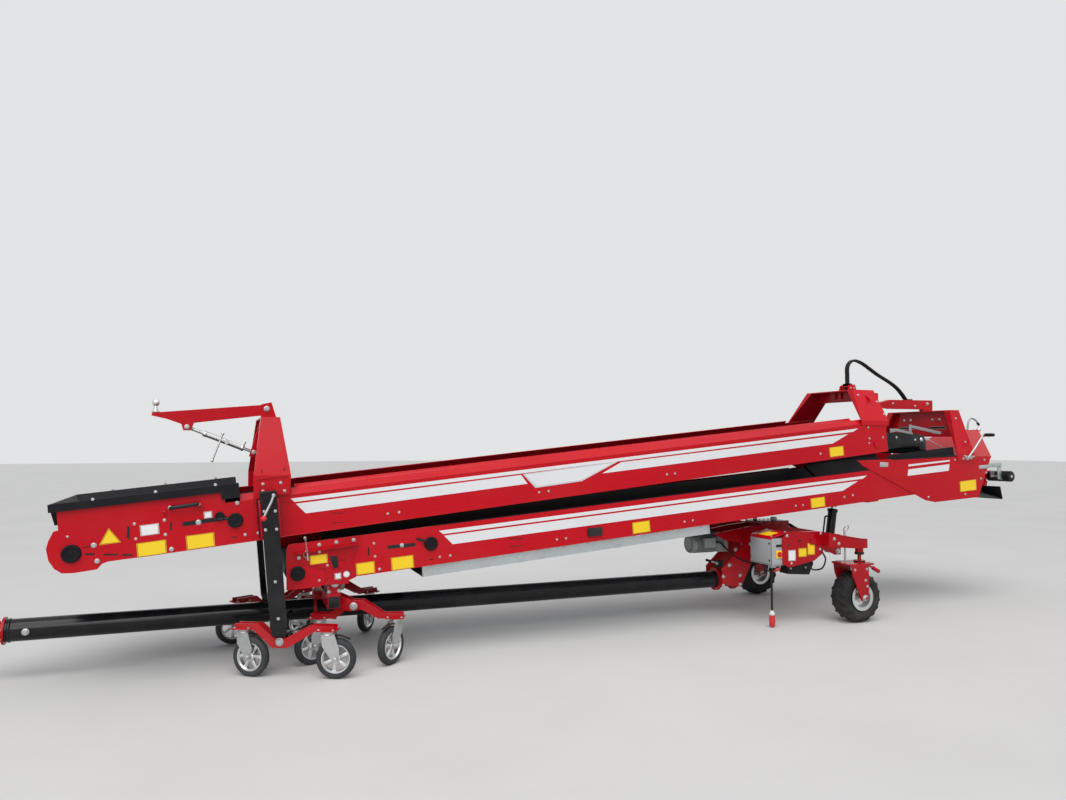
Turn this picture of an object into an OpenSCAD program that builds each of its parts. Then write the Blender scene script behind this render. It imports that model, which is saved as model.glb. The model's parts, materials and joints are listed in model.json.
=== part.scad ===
// Mobile duo belt conveyor for root crops, stacked and folded for the road.
// Stations along the machine are measured in x, to the right of the photographed side.
// y points away from that side and z up. The near side is y below zero.

/* [Conveyors] */
// Width over the side panels of both conveyors
frame_w = 960; // [900:10:1000]
// Height of a side panel, square to the belt
panel_h = 264; // [250:2:280]
// Thickness of the panel sheet
panel_t = 5; // [4:1:8]
// Width of both belts
belt_w = 800; // [700:10:840]
// Thickness of the belts
belt_t = 8; // [6:1:10]
// Diameter of the belt drums
drum_d = 126; // [110:2:130]
// Length of the lower conveyor between its drums
lower_len = 6110; // [5900:10:6200]
// Slope of the lower conveyor in degrees
lower_slope = 4.94; // [4.5:0.01:5.2]
// Length of the upper conveyor between its drums
upper_len = 6210; // [6100:10:6250]
// Slope of the upper conveyor in degrees
upper_slope = 5.96; // [5.8:0.01:6.2]
// Height of the lower conveyor's front drum above the ground
lower_drum_z = 628; // [620:1:640]
// Height of the upper conveyor's front drum above the ground
upper_drum_z = 816; // [810:1:850]

/* [Wheels] */
// Diameter of the pneumatic tyres out to the lugs
tyre_d = 416; // [400:2:440]
// Width of the pneumatic tyres
tyre_w = 166; // [150:2:180]
// Height of one tyre lug
lug_h = 9; // [4:1:12]
// Number of lugs on each shoulder of a tyre
lug_n = 18; // [12:1:24]
// Diameter of the rim flange of a pneumatic wheel
rim_d = 216; // [210:2:226]
// Distance of a pneumatic wheel from the centre plane
track_half = 663; // [655:1:670]
// Diameter of a castor wheel
castor_d = 250; // [240:2:250]
// Width of a castor wheel
castor_w = 50; // [40:1:56]
// Distance between the swivel axis and the axle of a castor
castor_trail = 52; // [45:1:54]

/* [Chassis] */
// Diameter of the round drawbar tube
bar_d = 140; // [120:2:150]
// Wall of the drawbar tube
bar_wall = 6; // [4:1:10]
// Height of the drawbar's centre line above the ground
bar_z = 300; // [298:1:306]
// Bore of the towing eye
eye_bore = 40; // [35:1:50]
// Side of the square cross beam
beam_s = 80; // [70:2:84]
// Side of the square outer tube of a crank leg
leg_s = 100; // [90:2:104]
// Wall of the outer tube of a crank leg
leg_wall = 5; // [4:1:8]
// Diameter of the hinge pins
pin_d = 30; // [24:1:36]
// Diameter of the tow balls
ball_d = 50; // [45:1:55]

/* [Hidden] */
$fn = 48;

// Running clearances: soft is for sheets and tubes that pass each other, fit is for pins.
soft = 0.4;
fit = 0.05;
slide_gap = 1;
// Clearance in a rod's eye, where a closed linkage is opened.
open_gap = 3;

// Stations of the main points, from the left end of the machine to the right.
lower_drum_x = 497;
upper_drum_x = -792;
hinge_x = 741;
hinge_z = 542;
cross_x = 732;
cross_z = 428;
kingpin_x = 4990;
wheel_x = 4940;
bar_left = -1205;
bar_right = 4240;
half_w = frame_w / 2;
leg_y = half_w + 110;
panel_low = -76;
panel_top = panel_low + panel_h;
eye_out = 345;
eye_r = 48;
eye_x = bar_left - eye_out;
hitch_x = 7206;
left_end = eye_x - eye_r;
hitch_lip = 30;
right_end = hitch_x + hitch_lip;
mid_x = (left_end + right_end) / 2;

// Points of a conveyor, from a length along its belt and a height square to it.
function lower_pt(s, n) = [
    lower_drum_x + s * cos(lower_slope) - n * sin(lower_slope),
    lower_drum_z + s * sin(lower_slope) + n * cos(lower_slope)
];
function upper_pt(s, n) = [
    upper_drum_x + s * cos(upper_slope) - n * sin(upper_slope),
    upper_drum_z + s * sin(upper_slope) + n * cos(upper_slope)
];

module placed() { translate([-mid_x, 0, 0]) children(); }
module on_lower() { translate([lower_drum_x, 0, lower_drum_z]) rotate([0, -lower_slope, 0]) children(); }
module on_upper() { translate([upper_drum_x, 0, upper_drum_z]) rotate([0, -upper_slope, 0]) children(); }

// A flat outline in x and z, drawn from y0 to y1.
module slab_xz(y0, y1) { translate([0, y1, 0]) rotate([90, 0, 0]) linear_extrude(y1 - y0) children(); }
// A flat outline in y and z, drawn from x0 to x1.
module slab_yz(x0, x1) { translate([x0, 0, 0]) rotate([90, 0, 90]) linear_extrude(x1 - x0) children(); }
// A round bar along y.
module bar_y(d, y0, y1) { translate([0, y1, 0]) rotate([90, 0, 0]) cylinder(d = d, h = y1 - y0); }
// Both sides of the machine.
module both_sides() { children(); mirror([0, 1, 0]) children(); }
// A closed path with a given half width, in two dimensions.
module strip(p, q, w) {
    run = norm(q - p);
    turn = atan2(q[1] - p[1], q[0] - p[0]);
    translate(p) rotate(turn) translate([0, -w / 2]) square([run, w]);
}

// Castors: plate x, plate y, heading of the wheel in degrees.
plate_z = 305;
CASTOR_X = 0;
CASTOR_Y = 1;
CASTOR_HEADING = 2;
castors = [
    [185, 138 - leg_y, -38], [670, -124 - leg_y, -20], [660, 268 - leg_y, 205], [1140, 88 - leg_y, 222],
    [185, leg_y - 138, 195], [670, leg_y + 124, 160], [660, leg_y - 268, 155], [1140, leg_y - 88, 235]
];
fork_t = 5;
fork_in = castor_w / 2 + 4;
fork_out = fork_in + fork_t;
fork_top = plate_z - 8;
castor_axle = 12;

module at_castor(i) {
    c = castors[i];
    translate([c[CASTOR_X], c[CASTOR_Y], 0]) rotate([0, 0, c[CASTOR_HEADING]]) children();
}

module castor_fork(i) {
    r = castor_d / 2;
    color("silver") placed() at_castor(i) {
        difference() {
            union() {
                translate([0, 0, fork_top - 26]) cylinder(d = 78, h = 26 - soft);
                both_sides() slab_xz(fork_in, fork_out) polygon([
                    [-36, fork_top - 20], [46, fork_top - 20], [castor_trail + 24, r + 60],
                    [castor_trail + 20, r - 18], [castor_trail - 14, r - 20], [-30, r + 80]
                ]);
                translate([-36, -fork_out, fork_top - 25]) cube([82, 2 * fork_out, 6]);
                translate([castor_trail, 0, r]) bar_y(castor_axle * 2, -fork_out - 9, fork_out + 9);
            }
            translate([0, 0, fork_top - 30]) cylinder(d = 20, h = 40);
        }
    }
}

module castor_wheel(i) {
    r = castor_d / 2;
    color("dimgray") placed() at_castor(i) translate([castor_trail, 0, r]) rotate([90, 0, 0])
        difference() {
            rotate_extrude($fn = 64) difference() {
                union() {
                    translate([castor_axle + fit, -26]) square([26, 52]);
                    translate([castor_axle + fit, -8]) square([r - 22, 16]);
                    translate([r - 34, -castor_w / 2]) square([34 - 8, castor_w]);
                    translate([r - 8, -castor_w / 2 + 8]) square([8, castor_w - 16]);
                    translate([r - 8, castor_w / 2 - 8]) circle(8, $fn = 24);
                    translate([r - 8, -castor_w / 2 + 8]) circle(8, $fn = 24);
                }
            }
        }
}

// Rockers: two bent cheeks between castor plates, drawn along their own length.
rocker_t = 8;
rocker_half = 34;
rocker_pin = 26;
rocker_h = 62;
module rocker(a, b, pivot, knee, sign, foot) {
    p = castors[a];
    q = castors[b];
    dx = q[CASTOR_X] - p[CASTOR_X];
    dy = q[CASTOR_Y] - p[CASTOR_Y];
    run = norm([dx, dy]);
    at = (pivot[0] - p[CASTOR_X]) / dx * run;
    base = plate_z - rocker_t;
    low = pivot[1] - rocker_h / 2 + sign * 6;
    high = low + rocker_h;
    top_foot = foot - sign * 38;
    color("firebrick") placed() translate([p[CASTOR_X], p[CASTOR_Y], 0]) rotate([0, 0, atan2(dy, dx)]) {
        for (s = [0, run]) {
            translate([s - 62, -55, base]) cube([124, 110, rocker_t]);
            translate([s, 0, fork_top - 26]) cylinder(d = 19.8, h = 27);
        }
        both_sides() slab_xz(rocker_half - rocker_t, rocker_half) polygon([
            [-50, base], [foot, base], [at - knee, low], [at + knee, low], [run - foot, base], [run + 50, base],
            [run + 50, base + 34], [run - top_foot, base + 34], [at + knee + sign * 10, high],
            [at - knee - sign * 10, high], [top_foot, base + 34], [-50, base + 34]
        ]);
        translate([at, 0, pivot[1]]) bar_y(rocker_pin, -rocker_half, rocker_half);
    }
}

// Drawbar and chassis
module drawbar_tube() {
    color([0.05, 0.05, 0.06]) placed() difference() {
        translate([bar_left, 0, bar_z]) rotate([0, 90, 0]) difference() {
            cylinder(d = bar_d, h = bar_right - bar_left, $fn = 96);
            translate([0, 0, -1]) cylinder(d = bar_d - 2 * bar_wall, h = bar_right - bar_left + 2, $fn = 96);
        }
        for (x = [bar_left + 120, bar_left + 1700])
            translate([x, 0, bar_z]) bar_y(24, -bar_d, bar_d);
    }
}

module coupling_head() {
    bolt_x = bar_left + 120;
    color("firebrick") placed() difference() {
        union() {
            translate([bar_left - 60, 0, bar_z]) rotate([0, 90, 0])
                cylinder(d = bar_d - 2 * bar_wall - 2 * soft, h = 260);
            translate([bar_left - 14, 0, bar_z]) rotate([0, 90, 0]) cylinder(d = bar_d + 30, h = 14);
            both_sides() slab_xz(24, 36) polygon([
                [bar_left - 14, bar_z + 62], [bar_left - 170, bar_z + 34], [bar_left - 230, bar_z + 34],
                [bar_left - 230, bar_z - 34], [bar_left - 170, bar_z - 34], [bar_left - 14, bar_z - 62]
            ]);
            translate([eye_x, 0, bar_z - 15]) cylinder(r = eye_r, h = 30);
            translate([eye_x + 38, -24, bar_z - 15]) cube([eye_out - 52, 48, 30]);
        }
        translate([eye_x, 0, bar_z - 40]) cylinder(d = eye_bore, h = 80);
    }
    color("silver") placed() translate([bolt_x, 0, bar_z]) bar_y(22, -bar_d / 2 - 14, bar_d / 2 + 14);
}

// Front hinge of the lower conveyor: two chassis posts on each side hold a lug between them.
post_y = 452;
post_t = 12;
lug_out = post_y - post_t - slide_gap;
lug_in = lug_out - post_t;
pivot_low = [884, 382];
pivot_up = [404, 224];
module front_crossbeam() {
    beam_half = 505;
    color("firebrick") placed() difference() {
        union() {
            translate([cross_x - beam_s / 2, -beam_half, cross_z - beam_s / 2])
                cube([beam_s, 2 * beam_half, beam_s]);
            both_sides() for (y = [post_y, lug_in - slide_gap])
                slab_xz(y - post_t, y) polygon([
                    [cross_x - 40, cross_z + 30], [cross_x + 50, cross_z + 30],
                    [hinge_x + 34, hinge_z], [hinge_x + 20, hinge_z + 26],
                    [hinge_x - 20, hinge_z + 26], [hinge_x - 34, hinge_z]
                ]);
            both_sides() translate([hinge_x, 0, hinge_z]) bar_y(pin_d, lug_in - 2 * post_t, post_y + 14);
            saddle();
        }
        translate([bar_left, 0, bar_z]) rotate([0, 90, 0]) cylinder(d = bar_d + 2 * soft, h = 4000, $fn = 96);
    }
    color([0.1, 0.1, 0.11]) placed() both_sides()
        translate([cross_x - 36, beam_half, cross_z - 36]) cube([72, 6, 72]);
    color("firebrick") placed() both_sides() cheeks();
}

// Clamp of the cross beam around the drawbar.
module saddle() {
    for (x = [cross_x - 80, cross_x + 60])
        translate([x, 0, bar_z]) rotate([0, 90, 0]) cylinder(d = bar_d + 36, h = 20);
    translate([cross_x - 80, -60, bar_z + bar_d / 2 + 2]) cube([160, 120, cross_z - bar_z - bar_d / 2]);
}

// Plates beside the rocker that run back from the cross beam to its bolt.
module cheeks() {
    p = castors[2];
    q = castors[3];
    turn = atan2(q[CASTOR_Y] - p[CASTOR_Y], q[CASTOR_X] - p[CASTOR_X]);
    scale_s = 1 / cos(turn);
    at = (pivot_low[0] - p[CASTOR_X]) * scale_s;
    root = (cross_x - p[CASTOR_X]) * scale_s;
    mirror([0, 1, 0]) translate([p[CASTOR_X], p[CASTOR_Y], 0]) rotate([0, 0, turn]) both_sides() {
        slab_xz(rocker_half + soft, rocker_half + soft + 10) polygon([
            [root - 26, cross_z + 30], [root + 60, cross_z + 30], [at + 40, pivot_low[1] + 14],
            [at + 24, pivot_low[1] - 30], [at - 30, pivot_low[1] - 34], [root - 26, cross_z - 36]
        ]);
        translate([at, 0, pivot_low[1]]) bar_y(rocker_pin, rocker_half + soft + 9, rocker_half + soft + 16);
    }
}

// Chassis of the pneumatic axle
side_y = 620;
module axle_frame() {
    main_x = 4470;
    main_z = 640;
    color("firebrick") placed() {
        difference() {
            union() {
                translate([main_x - 60, -side_y + 5, main_z - 50]) cube([120, 2 * side_y - 10, 100]);
                both_sides() side_panel();
                both_sides() swan_arm();
                both_sides() slab_xz(110, 122) center_plate();
                translate([4300, -110, 620]) cube([60, 220, 60]);
                translate([5060, -110, 550]) cube([50, 220, 60]);
                translate([lift_foot[0], 0, lift_foot[1]]) bar_y(pin_d, -112, 112);
                for (x = [4010, 4180]) translate([x, 0, bar_z]) rotate([0, 90, 0])
                    cylinder(d = bar_d + 50, h = 24);
                both_sides() slab_xz(110, 122) polygon([
                    [4010, bar_z - 30], [4204, bar_z - 60], [4330, 470], [4400, 620], [4280, 640], [4010, 400]
                ]);
                for (x = [4010, 4180]) translate([x, -122, bar_z - 40]) cube([24, 244, 80]);
            }
            translate([0, 0, bar_z]) rotate([0, 90, 0]) cylinder(d = bar_d + 2 * soft, h = bar_right + 300, $fn = 96);
            both_sides() translate([kingpin_x, track_half, 500]) cylinder(d = pin_d + 2 * fit, h = 300);
        }
    }
    color([0.1, 0.1, 0.11]) placed() slab_xz(-520, -410) polygon([
        [main_x - 60, main_z - 49], [main_x + 60, main_z - 49], [4600, 560], [4636, 470], [4590, 380], [4376, 397], [4376, 500]
    ]);
}

module center_plate() {
    polygon([
        [3930, 700], [4240, 745], [4420, 760], [4700, 735], [5290, 640],
        [5290, 460], [5225, 460], [5060, 530], [4700, 600], [4420, 560], [4280, 600], [4060, 640]
    ]);
}

module side_panel() {
    slab_xz(side_y - 6, side_y) polygon([
        [4240, 705], [4310, 752], [4640, 738], [4672, 720], [4640, 560], [4560, 510], [4311, 469], [4240, 500]
    ]);
    translate([4310, side_y - 60, 738]) cube([320, 60, 6]);
    translate([4400, side_y - 60, 560]) cube([140, 60, 6]);
    translate([4520, side_y - 60, 640]) cube([150, 66, 50]);
}

module swan_arm() {
    y0 = track_half - 45;
    slab_xz(y0, y0 + 90) polygon([
        [4636, 738], [kingpin_x + 48, 672], [kingpin_x + 48, 600], [kingpin_x - 60, 600], [4700, 622], [4636, 628]
    ]);
    translate([kingpin_x, track_half, 545]) cylinder(d = 66, h = 60);
}

module power_pack() {
    color([0.45, 0.46, 0.46]) placed() {
        translate([3760, 0, 610]) rotate([0, 90, 0]) cylinder(d = 140, h = 300);
        translate([4060 - soft, 0, 610]) rotate([0, 90, 0]) cylinder(d = 90, h = 60);
        translate([4000, -70, 540]) cube([110, 140, 150]);
        translate([4048, -110 + soft, 560]) cube([12, 220 - 2 * soft, 140]);
    }
    color("firebrick") placed() {
        translate([4424, -110 + soft, 690 + soft]) cube([300, 220 - 2 * soft, 90]);
        translate([4600, -60, 780]) cylinder(d = 50, h = 30);
    }
}

module control_cabinet() {
    color([0.5, 0.51, 0.52]) placed() {
        translate([4142, -side_y + 6 + soft, 490]) cube([110, 273, 214]);
        translate([4154, -side_y + 20, 470]) cube([86, 50, 21]);
        translate([lead_pts[0][0], lead_pts[0][1], lead_pts[0][2]]) cylinder(d = 34, h = 40);
    }
}

// Lift cylinder, between a lug on the chassis and a lug under the lower conveyor
lift_foot = [5255, 490];
lift_eye = [5325, 915];
lift_run = norm(lift_eye - lift_foot);
lift_tilt = atan2(lift_eye[0] - lift_foot[0], lift_eye[1] - lift_foot[1]);
eye_half = 28;
rod_show = 24.7;
barrel_len = lift_run - eye_half - rod_show;
module on_lift() { translate([lift_foot[0], 0, lift_foot[1]]) rotate([0, lift_tilt, 0]) children(); }
module lift_barrel() {
    color([0.06, 0.06, 0.07]) placed() on_lift() {
        difference() {
            union() {
                bar_y(50, -25, 25);
                translate([0, 0, 20]) cylinder(d = 80, h = barrel_len - 20);
                translate([0, 0, barrel_len - 30]) cylinder(d = 90, h = 30);
            }
            bar_y(pin_d + 2 * fit, -40, 40);
            translate([0, 0, 60]) cylinder(d = 40 + 2 * fit, h = barrel_len);
        }
    }
}
module lift_rod() {
    color("silver") placed() on_lift() {
        difference() {
            union() {
                translate([0, 0, 70]) cylinder(d = 40, h = lift_run - 90);
                translate([0, 0, lift_run]) bar_y(2 * eye_half, -22, 22);
            }
            translate([0, 0, lift_run]) bar_y(pin_d - 4 + 2 * open_gap, -40, 40);
        }
    }
}

// Pneumatic wheels
module at_wheel(side) { translate([wheel_x, side * track_half, tyre_d / 2]) rotate([90, 0, 0]) children(); }
module tyre(side) {
    r = tyre_d / 2;
    rim_r = rim_d / 2;
    shoulder = 34;
    bead = tyre_w / 2 - 24;
    color([0.08, 0.08, 0.08]) placed() at_wheel(side) {
        rotate_extrude($fn = 96) polygon([
            [rim_r - 15, -bead], [rim_r + 12, -bead - 14], [r - 52, -tyre_w / 2], [r - shoulder, -tyre_w / 2 + 3],
            [r - lug_h, -tyre_w / 2 + 30], [r - lug_h, tyre_w / 2 - 30], [r - shoulder, tyre_w / 2 - 3],
            [r - 52, tyre_w / 2], [rim_r + 12, bead + 14], [rim_r - 15, bead]
        ]);
        for (i = [0:lug_n - 1]) for (s = [-1, 1])
            rotate([0, 0, (i + (s > 0 ? 0.5 : 0)) * 360 / lug_n])
                translate([r - lug_h - 2, -15, s > 0 ? 6 : -tyre_w / 2 + 22])
                    cube([lug_h + 1, 30, tyre_w / 2 - 28]);
    }
}
module rim(side) {
    rim_r = rim_d / 2;
    edge = tyre_w / 2 - 2;
    color("silver") placed() at_wheel(side) difference() {
        union() {
            rotate_extrude($fn = 96) polygon([
                [rim_r - 26, -edge], [rim_r, -edge], [rim_r, 6 - edge], [rim_r - 15 - soft, 10 - edge],
                [rim_r - 15 - soft, edge - 10], [rim_r, edge - 6], [rim_r, edge], [rim_r - 26, edge]
            ]);
            rotate_extrude($fn = 96) polygon([[30, -8], [rim_r - 24, 8], [rim_r - 24, 16], [30, 2]]);
            translate([0, 0, -60]) cylinder(d = 62, h = 120);
        }
        translate([0, 0, -100]) cylinder(d = 25 + 2 * fit, h = 200);
    }
}
module wheel_fork(side) {
    leg_in = tyre_w / 2 + 12;
    color("firebrick") placed() {
        translate([kingpin_x, side * track_half, 0]) {
            translate([0, 0, 499]) cylinder(d = pin_d, h = 140);
            translate([0, 0, 485]) cylinder(d = 90, h = 14);
            translate([-195, -leg_in - 12, 470]) cube([245, 2 * leg_in + 24, 15]);
        }
        translate([wheel_x, side * track_half, 0]) {
            both_sides() slab_xz(leg_in, leg_in + 12) polygon([
                [-130, 470], [46, 470], [46, 277], [26, tyre_d / 2 - 24], [-30, tyre_d / 2 - 24], [-119, 394]
            ]);
            translate([0, 0, tyre_d / 2]) bar_y(25, -leg_in - 30, leg_in + 30);
            both_sides() translate([0, 0, tyre_d / 2]) bar_y(24, 61, 62);
        }
        translate([kingpin_x + 40, side * track_half - 12, 474]) rotate([0, 28, 0]) cube([185, 24, 10]);
    }
}

// Supply lead of the cabinet, with its plug
lead_d = 18;
lead_pts = [
    [4172, -576, 470], [4172, -576, 456], [4171, -577, 440], [4167, -580, 405], [4162, -584, 365],
    [4158, -587, 325], [4155, -590, 285], [4154, -591, 245], [4153, -592, 205], [4153, -592, 165], [4153, -592, 135]
];
function unit(v) = v / norm(v);
function heading(p, i) = unit(p[min(i + 1, len(p) - 1)] - p[max(i - 1, 0)]);
function ring(p, i, r, n) = let (
    t = heading(p, i),
    a = unit(cross(t, [0, 1, 0.001])),
    b = cross(t, a)
) [for (k = [0:n - 1]) p[i] + r * (cos(360 * k / n) * a + sin(360 * k / n) * b)];
module sweep(p, r, n) {
    pts = [for (i = [0:len(p) - 1]) each ring(p, i, r, n)];
    last = len(p) - 1;
    sides = [for (i = [0:last - 1]) for (k = [0:n - 1]) [
        i * n + k, i * n + (k + 1) % n, (i + 1) * n + (k + 1) % n, (i + 1) * n + k
    ]];
    polyhedron(points = pts, faces = concat(
        [[for (k = [n - 1:-1:0]) k]], sides, [[for (k = [0:n - 1]) last * n + k]]
    ));
}
module supply_cable() { color([0.05, 0.05, 0.05]) placed() sweep(lead_pts, lead_d / 2, 10); }
module supply_plug() {
    p = lead_pts[len(lead_pts) - 1];
    color("crimson") placed() translate([p[0], p[1], 0]) {
        translate([0, 0, 24]) cylinder(d = 52, h = 92);
        translate([0, 0, 116]) cylinder(d = 44, h = p[2] - 116);
        translate([0, 0, 12]) cylinder(d = 44, h = 12);
    }
}

// Belt loops and drums
module belt(run, wing_a, wing_b) {
    r = drum_d / 2 + soft;
    color([0.07, 0.07, 0.08]) {
        slab_xz(-belt_w / 2, belt_w / 2) difference() {
            union() {
                circle(r + belt_t);
                translate([run, 0]) circle(r + belt_t);
                translate([0, -r - belt_t]) square([run, 2 * (r + belt_t)]);
            }
            union() {
                circle(r);
                translate([run, 0]) circle(r);
                translate([0, -r]) square([run, 2 * r]);
            }
        }
        both_sides() slab_yz(wing_a, wing_b) polygon([
            [belt_w / 2 - 130, r + belt_t - 1], [belt_w / 2 - 120, r + belt_t - 1],
            [half_w - 24, panel_top - 12], [half_w - 34, panel_top - 6]
        ]);
    }
}
shaft_d = 40;
module drum(run) {
    color([0.3, 0.3, 0.32]) for (s = [0, run]) translate([s, 0, 0]) {
        bar_y(drum_d, -belt_w / 2 - 4, belt_w / 2 + 4);
        bar_y(shaft_d, -half_w + 1.4, half_w - 1.4);
    }
}
module ties(run, n) {
    for (i = [1:n]) translate([i * run / (n + 1), 0, 0]) bar_y(48, -half_w + 2, half_w - 2);
}

// Lower conveyor
head_s = 185;
module lower_panels() {
    end_s = lower_len + 60;
    color("firebrick") placed() on_lower() {
        both_sides() {
            slab_xz(half_w - panel_t, half_w) difference() {
                union() {
                    translate([head_s, panel_low]) square([end_s - head_s, panel_h]);
                    polygon([
                        [-40, panel_top], [-55, panel_top - 29], [-73, -102], [143, -110], [178, -82],
                        [head_s + 1, panel_low], [head_s + 1, panel_top]
                    ]);
                }
                circle(d = shaft_d + 0.6);
                translate([lower_len, 0]) circle(d = shaft_d + 0.6);
            }
            translate([330, half_w - 45, panel_low]) cube([end_s - 330, 45, panel_t]);
            translate([-38, half_w - 26, panel_top - panel_t]) cube([end_s - 1362, 26, panel_t]);
            bar_y(96, half_w - 1, half_w + 12);
        }
        ties(lower_len, 5);
        translate([lift_lug_s() - 60, -half_w + 2, panel_low - 12]) cube([120, frame_w - 4, 12.5]);
    }
    color("firebrick") placed() both_sides() slab_xz(25, 37) difference() {
        polygon([
            lift_eye + [-34, -6], lift_eye + [0, -34], lift_eye + [34, -6],
            lower_pt(lift_lug_s() + 50, panel_low - 4), lower_pt(lift_lug_s() - 50, panel_low - 4)
        ]);
    }
    color("silver") placed() translate([lift_eye[0], 0, lift_eye[1]]) bar_y(pin_d - 4, -40, 40);
}
function lift_lug_s() = (lift_eye[0] - lower_drum_x) / cos(lower_slope) + 2;

module lower_belt() { placed() on_lower() belt(lower_len, 260, 4900); }
module lower_drums() { placed() on_lower() drum(lower_len); }

module lower_tray() {
    tray_a = 830;
    tray_b = 3180;
    drop = 78;
    tray_y = half_w - 36;
    color("lightgray") placed() on_lower() {
        both_sides() translate([tray_a, tray_y - 3, panel_low - drop]) cube([tray_b - tray_a, 3, drop - soft]);
        translate([tray_a, -tray_y, panel_low - drop]) cube([tray_b - tray_a, 2 * tray_y, 3]);
    }
}

module front_brackets() {
    color("firebrick") placed() both_sides() difference() {
        union() {
            slab_xz(half_w + soft, half_w + 8) difference() {
                polygon([
                    [475, 744], [487, 760], [883, 803], [887, 787], [846, 680], [877, 582],
                    [830, 562], [826, 540], [656, 540], [690, 575], [678, 647], [572, 674], [492, 699]
                ]);
                translate([755, 640]) square([50, 60]);
            }
            translate([478, half_w + 6, 753]) rotate([0, -6.3, 0]) cube([410, 34, 6]);
            slab_xz(half_w + soft, half_w + 8) polygon([[785, 792], [785, 844], [911, 855], [883, 803]]);
        }
    }
    color("firebrick") placed() both_sides() difference() {
        slab_xz(lug_in, lug_out) polygon([
            [656, 564], [656, 544], [690, 540], [hinge_x - 30, hinge_z - 30], [hinge_x + 30, hinge_z - 30],
            [800, 540], [826, 548], [826, 566]
        ]);
        translate([hinge_x, 0, hinge_z]) bar_y(pin_d + 2 * fit, 380, 460);
    }
    color("firebrick") placed() both_sides() for (x = [683, 800])
        translate([x, lug_out - 1, 548]) cube([22, half_w + 8 - lug_out, 14]);
}

// Hopper at the right end of the lower conveyor
hopper_y = half_w + soft;
module lower_hopper() {
    color("firebrick") placed() {
        both_sides() slab_xz(hopper_y, hopper_y + 6) polygon([
            [5160, 1318], [6420, 1352], [6761, 1338], [6590, 969], [6054, 937], [5934, 958], [5224, 1271]
        ]);
        translate([6700, -hopper_y - 6, 1180]) cube([8, 2 * hopper_y + 12, 150]);
    }
}
module lower_skirt() {
    inner = half_w - panel_t - soft;
    flap = [[6600, 1066], [6650, 1004], [6905, 945], [6880, 1060]];
    flap_y = hopper_y - 0.3;
    color([0.08, 0.08, 0.09]) placed() {
        both_sides() slab_xz(inner - 8, inner) polygon([
            [5400, 1240], [5536, 1364], [6300, 1434], [6314, 1325]
        ]);
        both_sides() on_lower() slab_yz(4930, 5860) polygon([
            [inner - 1, panel_top + 14], [inner - 1, panel_top + 4], [belt_w / 2 - 100, drum_d / 2 + belt_t + 6],
            [belt_w / 2 - 106, drum_d / 2 + belt_t + 12], [inner - 10, panel_top + 14]
        ]);
        for (i = [0:2]) slab_xz(-flap_y, flap_y) strip(flap[i], flap[i + 1], 10);
    }
}

// Portals: legs lean inwards to a deep cross plate.
module portal(foot_a, foot_b, top_a, top_b, foot_z, top_z, lean, plate_low, off, drop) {
    leg_t = 70;
    face = half_w + off;
    intersection() {
        slab_xz(-half_w - 20, half_w + 20) polygon([
            [foot_a, foot_z - drop], [foot_b, foot_z - drop], [foot_b, foot_z], [top_b, top_z],
            [top_a, top_z], [foot_a, foot_z]
        ]);
        union() {
            both_sides() slab_yz(foot_a - 200, foot_b + 200) polygon([
                [face + 8, foot_z - drop], [face + 8, foot_z], [face + 8 - lean, top_z],
                [face + 8 - lean - leg_t, top_z], [face, foot_z - 2], [face, foot_z - drop]
            ]);
            slab_yz((top_a + top_b) / 2 - 5, (top_a + top_b) / 2 + 5) polygon([
                [-half_w + lean, top_z - 8], [half_w - lean, top_z - 8],
                [half_w - lean * 0.4, plate_low], [-half_w + lean * 0.4, plate_low]
            ]);
            translate([top_a, -half_w + lean + 20, top_z - 10]) cube([top_b - top_a, frame_w - 2 * lean - 40, 10]);
        }
    }
}

upper_pivot = [316, 1709];
module upper_front_portal() {
    color("firebrick") placed() {
        portal(220, 450, 264, 384, 1262, 1642, 120, 1400, soft, 170);
        both_sides() translate([262, half_w + soft, 1140]) cube([176, 34, 90]);
    }
    color("firebrick") placed() {
        both_sides() slab_xz(24, 34) difference() {
            polygon([
                [206, 1376], [262, 1376], [384, 1600], [384, 1642], [348, 1756], [280, 1740], [280, 1642]
            ]);
        }
        translate([upper_pivot[0], 0, upper_pivot[1]]) bar_y(pin_d - 6, -44, 44);
        translate([238, 0, 1406]) bar_y(24, -44, 44);
    }
}

module ball_arm() {
    p = upper_pivot;
    color("firebrick") placed() difference() {
        union() {
            slab_xz(-22, 22) polygon([
                [p[0] + 20, p[1] + 32], [-378, 1676], [-412, 1668], [-412, 1654], [-325, 1634], [-232, 1600],
                [-160, 1606], [p[0] + 20, p[1] - 40]
            ]);
            both_sides() slab_xz(12, 22) polygon([[-232, 1605], [-150, 1610], [-170, 1556], [-216, 1556]]);
            translate([-389, 0, 1660]) cylinder(d = 44, h = 16);
        }
        translate([p[0], 0, p[1]]) bar_y(pin_d - 6 + 2 * fit, -60, 60);
        translate([-246, -12, 1536]) cube([112, 24, 80]);
    }
    color("silver") placed() tow_ball([-389, 0, 1676]);
}
module tow_ball(base) {
    translate(base) {
        cylinder(d1 = 40, d2 = 26, h = 44);
        translate([0, 0, 40 + ball_d / 2]) sphere(d = ball_d, $fn = 48);
    }
}

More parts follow.
